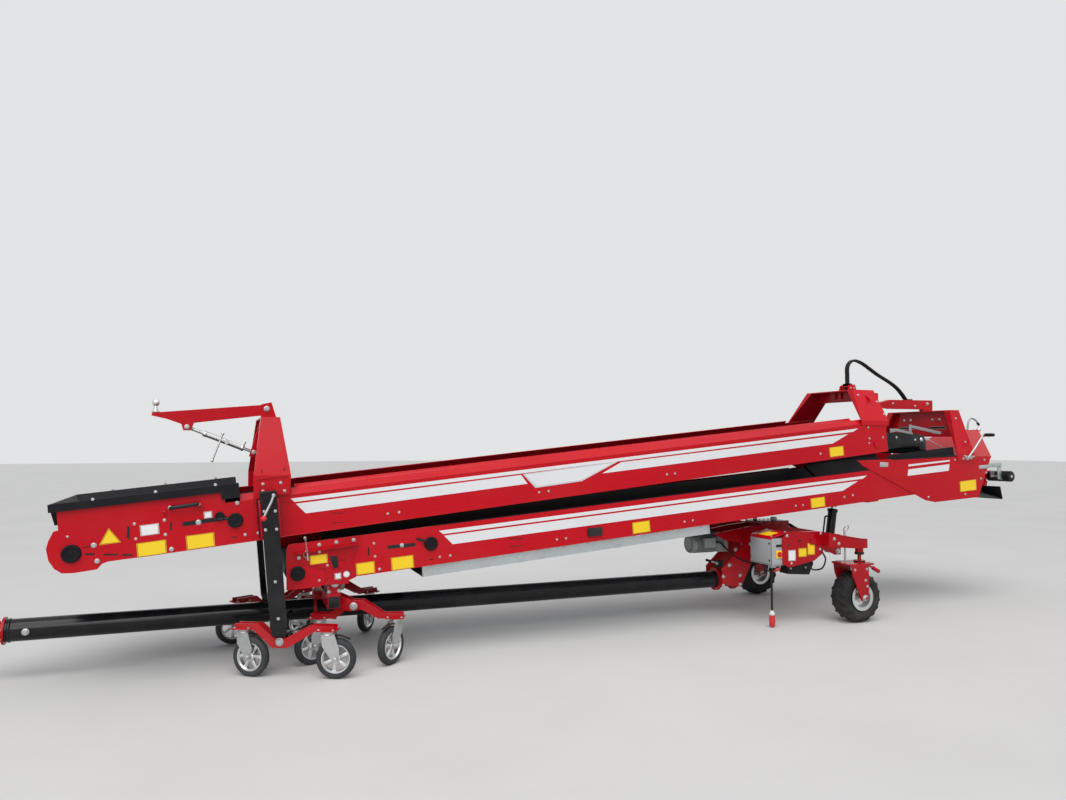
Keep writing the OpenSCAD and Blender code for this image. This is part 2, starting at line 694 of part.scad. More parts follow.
// Turnbuckle that holds the ball arm
screw_a = [-194, 1579];
screw_b = [238, 1406];
screw_run = norm(screw_b - screw_a);
screw_turn = atan2(screw_a[1] - screw_b[1], screw_b[0] - screw_a[0]);
module on_screw() { translate([screw_b[0], 0, screw_b[1]]) rotate([0, -90 + screw_turn, 0]) children(); }
module spindle_tube() {
    color("silver") placed() on_screw() difference() {
        union() {
            bar_y(44, -14, 14);
            translate([0, 0, 18]) cylinder(d = 20, h = 60);
            translate([0, 0, 70]) cylinder(d = 38, h = screw_run - 180);
            translate([0, 0, 190]) bar_y(12, -20, 120);
        }
        bar_y(24 + 2 * fit, -30, 30);
        translate([0, 0, 90]) cylinder(d = 22 + 2 * fit, h = screw_run);
    }
}
module spindle_rod() {
    color([0.2, 0.2, 0.22]) placed() on_screw() difference() {
        union() {
            translate([0, 0, 165]) cylinder(d = 22, h = screw_run - 185);
            translate([0, 0, screw_run]) bar_y(44, -9, 9);
        }
        translate([0, 0, screw_run]) bar_y(18, -30, 30);
    }
}

// Portal at the right end of the lower conveyor, with the arm and ball that carry the upper one
hitch = [5800, 1900];
module lower_portal() {
    color("firebrick") placed() {
        portal(6327, 6540, 6390, 6500, 1372, 1780, 120, 1530, 6 + 2 * soft, 70);
        slab_xz(-25, 25) polygon([
            [6560, 1890], [6560, 1800], [6520, 1700], [6450, 1700], [6440, 1800], [6010, 1800],
            [5760, 1820], [5760, 1840], [5860, 1850], [6010, 1886]
        ]);
        translate([hitch[0], 0, 1818]) cylinder(d = 44, h = 32);
        translate([6330, 20, 1840]) cube([20, 62, 62]);
    }
    color("silver") placed() translate([hitch[0], 0, hitch[1]]) {
        translate([0, 0, -52]) cylinder(d1 = 36, d2 = 26, h = 36);
        sphere(d = ball_d, $fn = 48);
    }
}

module lower_end_gear() {
    color("firebrick") placed() {
        translate([6708 + soft, -330, 1190]) cube([290, 120, 12]);
        difference() {
            end_hood(0);
            end_hood(hood_wall);
        }
        slab_xz(-45, 45) polygon([
            [7040, 1598], [7150, hitch_base], [right_end, hitch_base], [right_end, hitch_base - 12],
            [7140, hitch_base - 12], [7040, 1560]
        ]);
    }
    color("silver") placed() tow_ball([hitch_x, 0, hitch_base]);
    color([0.1, 0.1, 0.1]) placed() translate([7028, 0, 1153]) bar_y(100, -480, -250);
    color("silver") placed() translate([6938, -340, 1140]) cube([60, 12, 60]);
    color("silver") placed() translate([6950, -340, 1196]) cube([60, 130, 8]);
}

// Hood over the end of the belt: wide below, narrow above. A thinner one is cut out of it.
hood_wall = 6;
hood_low = 1330 + soft;
hitch_base = 1542;
module end_hood(wall) {
    low_y = half_w - panel_t - soft - wall;
    hull() {
        translate([6505 + wall, -low_y, hood_low - wall]) cube([277 - 2 * wall, 2 * low_y, 15]);
        translate([6895 + wall, -100 + wall, 1588 - wall]) cube([188 - 2 * wall, 200 - 2 * wall, 12]);
    }
}

// Upper conveyor
wall_top = 258;
hopper_a = -56;
hopper_b = 960;
module upper_panels() {
    end_s = upper_len + 126;
    strip_w = 42;
    color("firebrick") placed() on_upper() {
        both_sides() {
            slab_xz(half_w - panel_t, half_w) difference() {
                union() {
                    translate([hopper_a, panel_low]) square([end_s - hopper_a, panel_h]);
                    translate([hopper_a, panel_low]) square([hopper_b - hopper_a - 90, wall_top - panel_low]);
                    polygon([
                        [-33, 150], [-81, 143], [-110, 93], [-126, 47], [-119, -22], [-93, -75],
                        [-57, -107], [2, -115], [128, -113], [157, -84], [190, panel_low], [190, 150]
                    ]);
                }
                circle(d = shaft_d + 0.6);
                translate([upper_len, 0]) circle(d = shaft_d + 0.6);
                translate([614, 78]) square([260, 20]);
            }
            translate([240, half_w - 45, panel_low]) cube([end_s - 240, 45, panel_t]);
            slab_yz(hopper_b, end_s) polygon([
                [half_w, panel_top - 1], [half_w - strip_w, panel_top + strip_w - 1],
                [half_w - strip_w, panel_top + strip_w - 8], [half_w - panel_t, panel_top - 7]
            ]);
            for (s = [0, upper_len]) translate([s, 0, 0]) bar_y(60, half_w - 1, half_w + 10);
            translate([916, 0, 74]) bar_y(100, half_w - 1, half_w + 12);
            translate([830, 0, 108]) bar_y(60, half_w - 1, half_w + 8);
        }
        ties(upper_len, 5);
    }
}
module upper_belt() { placed() on_upper() belt(upper_len, 120, upper_len - 160); }
module upper_drums() { placed() on_upper() drum(upper_len); }
module upper_skirt() {
    lip = 302;
    color([0.08, 0.08, 0.09]) placed() on_upper() {
        both_sides() slab_yz(hopper_a - 40, hopper_b) polygon([
            [half_w + 14, lip - 46], [half_w + 20, lip - 46], [half_w + 20, lip], [half_w - 10, lip],
            [half_w - 150, lip - 130], [half_w - 145, lip - 135], [half_w - 10, lip - 8], [half_w + 14, lip - 8]
        ]);
        both_sides() translate([hopper_b - 110, half_w + 2, lip - 90]) cube([110, 18, 60]);
        both_sides() translate([hopper_a, half_w - 10, wall_top + soft]) cube([hopper_b - hopper_a, 26, lip - wall_top - 8]);
        slab_xz(-half_w + panel_t + soft, half_w - panel_t - soft) polygon([
            [hopper_a - 40, lip], [hopper_a - 40, lip - 8], [hopper_a + 70, lip - 130], [hopper_a + 78, lip - 126],
            [hopper_a - 30, lip]
        ]);
    }
}

module upper_rear_portal() {
    guide = [5488, 5554];
    guide_half = 46;
    color("firebrick") placed() {
        difference() {
            union() {
                portal(5216, 5523, 5300, 5540, 1664, 1950, 190, 1850, soft, 40);
                translate([guide[0] - 18, -guide_half - 14, 1949]) cube([guide[1] - guide[0] + 36, 2 * guide_half + 28, 6]);
                both_sides() translate([guide[0] - 8, guide_half + 2, 1950]) cube([24, 8, 54]);
                translate([guide[0] - 10, -guide_half - 10, 1996]) cube([guide[1] - guide[0] + 20, 2 * guide_half + 20, 8]);
            }
            translate([guide[0], -guide_half, 1900]) cube([guide[1] - guide[0], 2 * guide_half, 200]);
        }
        both_sides() slab_xz(31, 43) polygon([
            [5400, 1945], [5850, 1945], [5850, 1870], [5750, 1870], [5400, 1880]
        ]);
        translate([hitch[0], 0, hitch[1]]) difference() {
            cylinder(d = 86, h = 45);
            sphere(d = ball_d + 0.6, $fn = 48);
        }
    }
}

// Crank legs
leg_tilt = upper_slope;
leg_top = [301, 1163];
leg_run = 850;
module on_leg(side) { translate([leg_top[0], side * leg_y, leg_top[1]]) rotate([0, 180 - leg_tilt + 0.6, 0]) children(); }
module leg_tubes() {
    color([0.06, 0.06, 0.07]) placed() for (side = [-1, 1]) {
        on_leg(side) difference() {
            translate([-leg_s / 2, -leg_s / 2, 0]) cube([leg_s, leg_s, leg_run]);
            translate([-leg_s / 2 + leg_wall, -leg_s / 2 + leg_wall, 12]) cube([leg_s - 2 * leg_wall, leg_s - 2 * leg_wall, leg_run]);
        }
        on_leg(side) scale([1, -side, 1]) {
            translate([-70, leg_s / 2 - 1, 40]) cube([140, 10, 250]);
            translate([-40, leg_s / 2 + 8, 80]) cube([80, leg_y - half_w - leg_s / 2 - 8 - soft, 180]);
        }
    }
}
module leg(side) {
    inner = leg_s - 2 * leg_wall - 2 * slide_gap;
    reach = norm(pivot_up - leg_top);
    p = castors[side < 0 ? 0 : 4];
    q = castors[side < 0 ? 1 : 5];
    turn = atan2(q[CASTOR_Y] - p[CASTOR_Y], q[CASTOR_X] - p[CASTOR_X]);
    tongue = rocker_half - rocker_t - soft;
    at = [pivot_up[0], p[CASTOR_Y] + (pivot_up[0] - p[CASTOR_X]) * tan(turn)];
    color([0.15, 0.15, 0.16]) placed() {
        on_leg(side) {
            difference() {
                translate([-inner / 2, -inner / 2, 360]) cube([inner, inner, reach - 412]);
                translate([-inner / 2 + 6, -inner / 2 + 6, 350]) cube([inner - 12, inner - 12, reach - 420]);
            }
        }
        translate([at[0], at[1], 0]) rotate([0, 0, turn]) difference() {
            union() {
                translate([-30, -tongue, 196]) cube([60, 2 * tongue, 72]);
                translate([-46, -46, 264]) cube([92, 92, 18]);
            }
            translate([0, 0, pivot_up[1]]) bar_y(rocker_pin + 2 * soft, -60, 60);
        }
    }
}

// Hoses over the portals
hose_d = 22;
hose_gap = 13;
hose_pts = [
    [6330, 50, 1880], [6316, 50, 1880], [6290, 50, 1896], [6240, 48, 1950], [6170, 46, 2010], [6090, 42, 2055], [6010, 36, 2090],
    [5930, 28, 2122], [5860, 20, 2154], [5790, 14, 2190], [5720, 8, 2224], [5655, 2, 2245], [5612, 0, 2252],
    [5577, 0, 2245], [5547, 0, 2225], [5527, 0, 2195], [5520, 0, 2160], [5520, 0, 2110], [5520, 0, 2060],
    [5520, 0, 2010], [5520, 0, 1910]
];
module hose(shift) {
    route = [for (p = hose_pts) p + [0, shift, 0]];
    color([0.05, 0.05, 0.05]) placed() sweep(route, hose_d / 2, 8);
}

drawbar_tube();
coupling_head();
front_crossbeam();
rocker(2, 3, pivot_low, 50, 1, 112);  // lower_rocker_near
rocker(6, 7, pivot_low, 50, 1, 112);  // lower_rocker_far
axle_frame();
power_pack();
control_cabinet();
supply_cable();
supply_plug();
lift_barrel();
lift_rod();
wheel_fork(-1);  // wheel_fork_near
wheel_fork(1);  // wheel_fork_far
tyre(-1);  // tyre_near
tyre(1);  // tyre_far
rim(-1);  // rim_near
rim(1);  // rim_far
castor_fork(0);  // castor_fork_1
castor_fork(1);  // castor_fork_2
castor_fork(2);  // castor_fork_3
castor_fork(3);  // castor_fork_4
castor_fork(4);  // castor_fork_5
castor_fork(5);  // castor_fork_6
castor_fork(6);  // castor_fork_7
castor_fork(7);  // castor_fork_8
castor_wheel(0);  // castor_wheel_1
castor_wheel(1);  // castor_wheel_2
castor_wheel(2);  // castor_wheel_3
castor_wheel(3);  // castor_wheel_4
castor_wheel(4);  // castor_wheel_5
castor_wheel(5);  // castor_wheel_6
castor_wheel(6);  // castor_wheel_7
castor_wheel(7);  // castor_wheel_8
lower_panels();
lower_belt();
lower_drums();
lower_tray();
lower_hopper();
lower_skirt();
lower_portal();
lower_end_gear();
front_brackets();
hose(-hose_gap);  // hose_1
hose(hose_gap);  // hose_2
upper_panels();
upper_belt();
upper_drums();
upper_skirt();
upper_front_portal();
upper_rear_portal();
leg_tubes();
ball_arm();
spindle_tube();
spindle_rod();
leg(-1);  // leg_near
leg(1);  // leg_far
rocker(0, 1, pivot_up, 50, -1, 70);  // upper_rocker_near
rocker(4, 5, pivot_up, 50, -1, 70);  // upper_rocker_far
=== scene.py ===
# %% [markdown]
# A twin belt conveyor for root crops, stacked for the road. Two red trough conveyors ride one above
# the other on a low drawbar chassis. The construction comes in finished from the CAD pack, with
# every part in its place, so this lesson only dresses it: paint, rubber, stripes, bolts, wheels and
# light. The first cell loads the construction and keeps its outer box, because the dressed machine
# has to stay inside it.

# %% Load the construction
import json
import math
import bmesh
import bpy
from mathutils import Matrix, Vector


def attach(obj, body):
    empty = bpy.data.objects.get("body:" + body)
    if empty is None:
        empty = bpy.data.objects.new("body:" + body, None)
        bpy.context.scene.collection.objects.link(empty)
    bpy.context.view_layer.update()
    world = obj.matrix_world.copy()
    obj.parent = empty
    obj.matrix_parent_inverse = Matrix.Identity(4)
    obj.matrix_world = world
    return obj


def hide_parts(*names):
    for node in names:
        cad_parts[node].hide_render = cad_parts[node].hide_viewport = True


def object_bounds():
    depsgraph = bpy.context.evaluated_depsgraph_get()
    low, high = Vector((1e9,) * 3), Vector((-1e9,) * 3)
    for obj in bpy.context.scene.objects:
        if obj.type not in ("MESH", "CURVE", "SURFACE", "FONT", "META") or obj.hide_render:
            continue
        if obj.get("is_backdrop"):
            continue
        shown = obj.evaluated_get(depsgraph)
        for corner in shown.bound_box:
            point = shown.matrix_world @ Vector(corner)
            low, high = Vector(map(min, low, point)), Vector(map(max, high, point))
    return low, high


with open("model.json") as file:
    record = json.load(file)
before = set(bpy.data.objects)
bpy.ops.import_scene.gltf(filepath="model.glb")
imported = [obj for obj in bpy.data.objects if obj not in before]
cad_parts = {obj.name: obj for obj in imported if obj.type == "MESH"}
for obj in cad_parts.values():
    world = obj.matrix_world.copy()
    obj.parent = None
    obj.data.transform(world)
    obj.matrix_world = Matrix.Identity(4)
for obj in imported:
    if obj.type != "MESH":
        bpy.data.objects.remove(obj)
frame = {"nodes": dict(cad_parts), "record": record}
cad_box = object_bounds()
nodes = frame["nodes"]
print("machine from", [round(v, 3) for v in cad_box[0]], "to", [round(v, 3) for v in cad_box[1]])

# %% [markdown]
# All measures were taken along the machine from a station near its left end, and the construction's
# origin is its middle. Three placements turn measures into positions: one for the ground, and one
# for each conveyor, where the first number runs along the belt and the third stands square to it.
# Matrices are the usual tool for this, because one multiplication moves a whole mesh.

# %% Placements
MID_X = 2.819
LOWER_DRUM = (0.497, 0.628)
UPPER_DRUM = (-0.792, 0.816)
LOWER_SLOPE = math.radians(4.94)
UPPER_SLOPE = math.radians(5.96)
LOWER_LEN = 6.11
UPPER_LEN = 6.21
PANEL_Y = 0.48
ON_GROUND = Matrix.Translation((-MID_X, 0, 0))
# Directions: near is towards the camera, right is towards the hopper's end.
LEFT, RIGHT = (-1, 0, 0), (1, 0, 0)
NEAR, FAR = (0, -1, 0), (0, 1, 0)
DOWN, UP = (0, 0, -1), (0, 0, 1)


def along(drum, slope):
    """The placement of a conveyor whose front drum and slope are given."""
    return ON_GROUND @ Matrix.Translation((drum[0], 0, drum[1])) @ Matrix.Rotation(-slope, 4, "Y")


ON_LOWER = along(LOWER_DRUM, LOWER_SLOPE)
ON_UPPER = along(UPPER_DRUM, UPPER_SLOPE)
print("upper conveyor ends at", [round(v, 3) for v in ON_UPPER @ Vector((UPPER_LEN, 0, 0))])

# %% [markdown]
# The photograph was taken at eye level from the left front, with a wide lens tipped up by three
# degrees. A camera can be aimed with a tracking constraint or by hand; here its rotation is worked
# out from the direction of view, so that nothing moves it later.

# %% Camera
EYE_BACK, EYE_HEIGHT = 5.92, 1.47
TURN, LIFT = math.radians(21.5), math.radians(3.08)
eye = bpy.data.cameras.new("eye")
eye.sensor_width = 36
eye.lens = 27.02
camera = bpy.data.objects.new("eye", eye)
view = Vector((math.sin(TURN) * math.cos(LIFT), math.cos(TURN) * math.cos(LIFT), math.sin(LIFT)))
camera.location = (-MID_X, -EYE_BACK, EYE_HEIGHT)
camera.rotation_euler = view.to_track_quat("-Z", "Y").to_euler()
bpy.context.scene.collection.objects.link(camera)
bpy.context.scene.camera = camera
print("camera looks along", [round(v, 3) for v in view])

# %% [markdown]
# A finish starts as numbers: how dusty, how scratched, how rough. Written node by node that becomes
# hard to read, so one small class wraps a socket and lets Python's own signs add the Math nodes.
# Colours never go through it, because a Math node turns a colour grey; they are mixed by their own
# nodes.

# %% Socket arithmetic
class Wire:
    """One output socket. Sums and products with numbers or other wires add Math nodes."""

    def __init__(self, tree, socket):
        self.tree = tree
        self.socket = socket

    def math(self, operation, first, second):
        step = self.tree.nodes.new("ShaderNodeMath")
        step.operation = operation
        for place, value in zip(step.inputs, (first, second)):
            if isinstance(value, Wire):
                self.tree.links.new(value.socket, place)
            else:
                place.default_value = value
        return Wire(self.tree, step.outputs[0])

    def __add__(self, other):
        return self.math("ADD", self, other)

    def __radd__(self, other):
        return self.math("ADD", other, self)

    def __mul__(self, other):
        return self.math("MULTIPLY", self, other)


# %% Finishes
class Finish:
    """A material with one method that adds any node and one that mixes two colours."""

    def __init__(self, name, colour, roughness, metallic=0.0, coat=0.0, shine=0.5):
        self.material = bpy.data.materials.new(name)
        self.material.use_nodes = True
        self.tree = self.material.node_tree
        self.shader = self.tree.nodes["Principled BSDF"]
        looks = {"Base Color": (*colour, 1), "Roughness": roughness, "Metallic": metallic,
                 "Coat Weight": coat, "Coat Roughness": 0.06, "Specular IOR Level": shine}
        for socket, value in looks.items():
            self.shader.inputs[socket].default_value = value
        self.place = self.node("ShaderNodeTexCoord", out="Object")

    def node(self, kind, settings=None, sockets=None, out=0):
        """Adds a node. Its settings come first, then the values and links of its sockets."""
        made = self.tree.nodes.new(kind)
        for key, value in (settings or {}).items():
            setattr(made, key, value)
        for key, value in (sockets or {}).items():
            if isinstance(value, Wire):
                self.tree.links.new(value.socket, made.inputs[key])
            else:
                made.inputs[key].default_value = value
        return Wire(self.tree, made.outputs[out])

    def noise(self, scale, detail=3.0, rough=0.5, where=None):
        sockets = {"Vector": where or self.place, "Scale": scale, "Detail": detail,
                   "Roughness": rough}
        return self.node("ShaderNodeTexNoise", sockets=sockets)

    def band(self, wire, low, high):
        """0 below low, 1 above high, with a soft step between."""
        settings = {"interpolation_type": "SMOOTHSTEP"}
        return self.node("ShaderNodeMapRange", settings,
                         {"Value": wire, "From Min": low, "From Max": high})

    def mix(self, amount, first, second):
        """Two colours, of which the second shows by the given amount."""
        sockets = {0: amount}
        for key, colour in ((6, first), (7, second)):
            sockets[key] = colour if isinstance(colour, Wire) else (*colour, 1)
        return self.node("ShaderNodeMix", {"data_type": "RGBA"}, sockets, out=2)

    def feed(self, socket, wire):
        self.tree.links.new(wire.socket, self.shader.inputs[socket])

    def bump(self, height, distance, strength=1.0):
        sockets = {"Height": height, "Distance": distance, "Strength": strength}
        self.feed("Normal", self.node("ShaderNodeBump", sockets=sockets))


def shade(colour, part):
    """The same colour, darker."""
    return tuple(v * part for v in colour)

# %% [markdown]
# The red is a sprayed two-coat machine paint. On the real machine it is glossy but a little wavy,
# with dust that settles on it and dulls it in soft patches, and fine hairline scratches from
# handling. A single glossy red would look like plastic, so roughness, colour and bump each follow
# their own noise.

# %% Red machine paint
def red_paint(name, colour, dust):
    paint = Finish(name, colour, 0.24, coat=0.05, shine=0.2)
    patches = paint.noise(1.7, 5.0, 0.6)
    specks = paint.noise(55.0, 3.0, 0.65)
    cloud = paint.band(patches, 0.42, 0.75)
    dusty = (cloud * 0.75 + paint.band(specks, 0.56, 0.72) * 0.25) * dust
    deep = paint.mix(paint.band(paint.noise(0.55, 2.0), 0.35, 0.7), colour, shade(colour, 0.86))
    paint.feed("Base Color", paint.mix(dusty, deep, (0.46, 0.22, 0.18)))
    scratch = paint.node("ShaderNodeMapping",
                         sockets={"Vector": paint.place, "Scale": (3.0, 3.0, 160.0)})
    hair = paint.band(paint.noise(2.2, 2.0, 0.4, scratch), 0.63, 0.7)
    paint.feed("Roughness", 0.22 + dusty * 0.5 + hair * 0.06)
    peel = paint.noise(240.0, 1.0)
    sway = paint.noise(3.0, 1.0)
    paint.bump(peel * 0.04 + sway * 1.6 + hair * -0.05, 0.002, 0.35)
    return paint


RED = red_paint("red_paint_panel", (0.52, 0.001, 0.009), 0.05)
RED_DEEP = red_paint("red_paint_chassis", (0.44, 0.001, 0.008), 0.12)
print("red finishes:", RED.material.name, RED_DEEP.material.name)

# %% [markdown]
# The drawbar, the crank legs and the lift cylinder are glossy black. Black shows dust more than
# anything else, so its dust is a separate lighter brown, and its gloss breaks up where the dust
# lies.

# %% Black gloss and dark metal
def black_gloss(name, colour, rough, dust):
    paint = Finish(name, colour, rough, coat=0.08, shine=0.22)
    cloud = paint.band(paint.noise(2.6, 6.0, 0.62), 0.46, 0.78)
    specks = paint.band(paint.noise(90.0, 2.0, 0.7), 0.58, 0.7)
    dusty = (cloud * 0.7 + specks * 0.3) * dust
    paint.feed("Base Color", paint.mix(dusty, colour, (0.17, 0.14, 0.12)))
    paint.feed("Roughness", rough + dusty * 0.9)
    paint.bump(paint.noise(180.0, 2.0) * 0.05 + paint.noise(5.0, 1.0) * 0.8, 0.002, 0.3)
    return paint


BLACK = black_gloss("black_gloss_paint", (0.007, 0.007, 0.009), 0.15, 0.16)
# The black plastic finish is also the painted shade that fills slots, holes and windows, where
# their dark insides would show.
BLACK_PLASTIC_AND_SHADE = black_gloss("black_plastic_and_painted_shade", (0.012, 0.012, 0.013), 0.4, 0.25)

# %% [markdown]
# Zinc comes in two looks here. Hot-dip galvanised sheet has a frozen pattern of crystals, which a
# Voronoi texture gives as cells of slightly different grey and gloss. Plated bolts and forks are a
# cooler grey, with a fine grain and hardly any crystals, and bright ball steel is the smoothest of
# the three.

# %% Zinc finishes
def galvanised(name, colour, rough, cell, shine, mottle=0.45):
    zinc = Finish(name, colour, rough, metallic=0.85)
    crystal = zinc.node("ShaderNodeTexVoronoi", {"feature": "F1"},
                        {"Vector": zinc.place, "Scale": cell}, "Color")
    grey = zinc.node("ShaderNodeSeparateColor", sockets={"Color": crystal}, out=0)
    cloud = zinc.band(zinc.noise(3.2, 5.0), 0.35, 0.75)
    tone = zinc.mix(grey * mottle + cloud * 0.3, colour, shade(colour, 0.62))
    zinc.feed("Base Color", tone)
    zinc.feed("Roughness", rough + grey * shine + cloud * 0.12)
    zinc.bump(zinc.noise(160.0, 3.0, 0.6) * 0.1 + grey * 0.05, 0.002, 0.4)
    return zinc


ZINC = galvanised("galvanised_sheet", (0.56, 0.6, 0.61), 0.38, 60.0, 0.1, 0.16)
PLATED = galvanised("zinc_plated", (0.56, 0.57, 0.57), 0.32, 600.0, 0.1)
BALL_STEEL = galvanised("bright_ball_steel", (0.78, 0.78, 0.77), 0.14, 900.0, 0.04)

# %% Turned and cast metal
def turned(name, colour, rough):
    """Bright metal with the fine rings that a lathe leaves, and a little dirt between them."""
    metal = Finish(name, colour, rough, metallic=0.95)
    fine = metal.noise(420.0, 2.0, 0.7)
    dirt = metal.band(metal.noise(24.0, 4.0), 0.55, 0.8)
    metal.feed("Base Color", metal.mix(dirt * 0.5, colour, shade(colour, 0.45)))
    metal.feed("Roughness", rough + fine * 0.16 + dirt * 0.25)
    metal.bump(fine * 0.06, 0.001, 0.5)
    return metal


CHROME = turned("chrome_rod_metal", (0.78, 0.79, 0.8), 0.1)
ALUMINIUM = turned("cast_aluminium", (0.72, 0.73, 0.74), 0.3)
RIM_SILVER = turned("rim_silver_paint", (0.66, 0.67, 0.68), 0.34)
DRUM_STEEL = turned("drum_steel_bare", (0.34, 0.34, 0.35), 0.42)
print("metal finishes ready")

# %% [markdown]
# Rubber is never quite black. Belts are calendered and carry a fine cloth print; tyres are moulded
# and turn brown-grey where they touch the yard; castor tyres are a paler grey compound. One recipe
# covers them all, since only the colour, the grain and the dust differ.

# %% Rubber finishes
def rubber(name, colour, rough, grain, dust, dust_colour, depth):
    gum = Finish(name, colour, rough, shine=0.12)
    cloud = gum.band(gum.noise(4.5, 6.0, 0.6), 0.38, 0.76)
    fine = gum.noise(grain, 3.0, 0.6)
    dusty = (cloud * 0.8 + gum.band(fine, 0.5, 0.7) * 0.2) * dust
    gum.feed("Base Color", gum.mix(dusty, colour, dust_colour))
    gum.feed("Roughness", rough + dusty * 0.3 + fine * 0.08)
    gum.bump(fine * depth + gum.noise(12.0, 2.0) * 0.3, 0.001, 0.6)
    return gum


BELT = rubber("belt_rubber_print", (0.022, 0.022, 0.024), 0.52, 300.0, 0.35, (0.1, 0.09, 0.08), 0.5)
SHEET = rubber("rubber_sheet", (0.01, 0.01, 0.012), 0.5, 220.0, 0.12, (0.06, 0.055, 0.05), 0.3)
TYRE = rubber("tyre_rubber_moulded", (0.02, 0.02, 0.02),
              0.62, 130.0, 0.55, (0.13, 0.115, 0.095), 0.6)
CASTOR_GUM = rubber("castor_rubber_grey", (0.04, 0.043, 0.046), 0.52, 170.0, 0.35,
                    (0.13, 0.125, 0.115), 0.4)
CABLE = rubber("cable_sheath", (0.014, 0.014, 0.015), 0.36, 260.0, 0.25, (0.08, 0.075, 0.07), 0.2)

# %% [markdown]
# The cabinet is powder coated, which dries with a fine even orange peel. The motor is a ribbed
# casting under a mid grey paint. The red plug and the knobs are moulded plastic. Film stickers and
# stripes are thin vinyl with a soft gloss that ages to slightly uneven white.

# %% Coats, plastics and films
def coat(name, colour, rough, grain, depth, dirt):
    skin = Finish(name, colour, rough)
    fine = skin.noise(grain, 2.0, 0.55)
    cloud = skin.band(skin.noise(2.4, 5.0, 0.6), 0.42, 0.8)
    skin.feed("Base Color", skin.mix(cloud * dirt, colour, tuple(v * 0.62 + 0.02 for v in colour)))
    skin.feed("Roughness", rough + cloud * 0.16 + fine * 0.06)
    skin.bump(fine * depth, 0.001, 0.5)
    return skin


CABINET = coat("cabinet_powder_coat", (0.36, 0.37, 0.375), 0.4, 420.0, 0.35, 0.35)
MOTOR = coat("motor_grey_paint", (0.26, 0.27, 0.27), 0.46, 200.0, 0.5, 0.6)
PLUG_RED = coat("plug_red_plastic", (0.62, 0.02, 0.022), 0.34, 300.0, 0.2, 0.25)
PLASTIC_WHITE = coat("plastic_white", (0.72, 0.72, 0.7), 0.4, 300.0, 0.2, 0.25)
STRIPE = coat("stripe_film", (0.74, 0.74, 0.75), 0.3, 90.0, 0.05, 0.16)
YELLOW = coat("yellow_film", (0.92, 0.62, 0.008), 0.34, 120.0, 0.06, 0.18)
WHITE_FILM = coat("white_film", (0.8, 0.8, 0.79), 0.34, 120.0, 0.05, 0.14)
BADGE = coat("blank_badge_film", (0.6, 0.6, 0.61), 0.28, 80.0, 0.05, 0.2)
print("coats:", len(bpy.data.materials), "materials in the file")

# %% [markdown]
# The construction's own parts keep their shapes and only change their finish. A few of them hold
# two materials in one part, such as a red arm with a bright ball, so a rule can pick out faces by
# their place and give those a second finish. The mesh itself is never moved.

# %% Dress the construction
def dress(name, finish, *others):
    """Gives a part its finish. Each other is (finish, rule), and a rule gets a face's centre."""
    part = nodes[name]
    part.data.materials.clear()
    part.data.materials.append(finish.material)
    for index, (second, rule) in enumerate(others, 1):
        part.data.materials.append(second.material)
        for face in part.data.polygons:
            if rule(face.center + Vector((MID_X, 0, 0))):
                face.material_index = index


SLOT_FINISH = {
    "red_paint": RED_DEEP, "black_gloss": BLACK, "motor_grey": MOTOR, "cabinet_grey": CABINET,
    "cable_black": CABLE, "plug_red": PLUG_RED, "chrome_rod": CHROME, "tyre_rubber": TYRE,
    "rim_silver": RIM_SILVER, "belt_rubber": BELT, "drum_steel": DRUM_STEEL, "galvanised": PLATED,
    "castor_rubber": CASTOR_GUM,
}
slot_of = {part["node"]: part["material_slot"] for part in frame["record"]["subparts"]}
for name in nodes:
    dress(name, SLOT_FINISH[slot_of[name]])
for name in ("lower_panels", "upper_panels", "lower_hopper"):
    dress(name, RED)
dress("lower_tray", ZINC)
dress("lower_skirt", SHEET)
dress("upper_skirt", SHEET)
dress("ball_arm", RED, (BALL_STEEL, lambda p: p.z > 1.6765 and p.x < -0.35))
dress("lower_portal", RED, (BALL_STEEL, lambda p: p.z > 1.8495 and p.x < 5.83))
dress("spindle_tube", BALL_STEEL)
dress("spindle_rod", BALL_STEEL)
dress("upper_front_portal", RED)
dress("upper_rear_portal", RED)
dress("lower_end_gear", RED, (BALL_STEEL, lambda p: p.x > 7.17 and p.z > 1.5425),
      (ZINC, lambda p: p.y < -0.2 and 6.93 < p.x < 7.015 and 1.139 < p.z < 1.206),
      (SHEET, lambda p: p.y < -0.245 and math.hypot(p.x - 7.028, p.z - 1.153) < 0.0503))
dress("axle_frame", RED_DEEP, (BLACK_PLASTIC_AND_SHADE, lambda p: -0.521 < p.y < -0.409 and 4.37 < p.x < 4.64
                               and p.z < 0.5905))
dress("front_crossbeam", RED_DEEP, (BLACK_PLASTIC_AND_SHADE, lambda p: abs(p.y) > 0.5052))
dress("power_pack", MOTOR, (RED_DEEP, lambda p: p.x > 4.3))
dress("coupling_head", RED_DEEP, (PLATED, lambda p: abs(p.y) > 0.0701 and abs(p.x + 1.085) < 0.03))
print(len(nodes), "parts of the construction dressed")

# %% [markdown]
# Every piece from here on is drawn in a mesh of its own, from a few workshop shapes: a plate cut
# from an outline, a turned shape, a rod, a bent tube and a bolt. They could be assembled from
# Blender's ready primitives, but an outline or a turned profile gives chamfers and washers at no
# cost, and the same class can place a piece on the ground or on either conveyor and mirror it to
# the far side.

# %% Workshop shapes
SHARP_FROM = 35


def oblong(left, right, low, high):
    """The four corners of an upright rectangle."""
    return [(left, low), (right, low), (right, high), (left, high)]


def collar(low, high, width, ease):
    """The profile of a ring that rises from one radius to another and falls back."""
    return [(0, low), (ease, high), (width - ease, high), (width, low)]


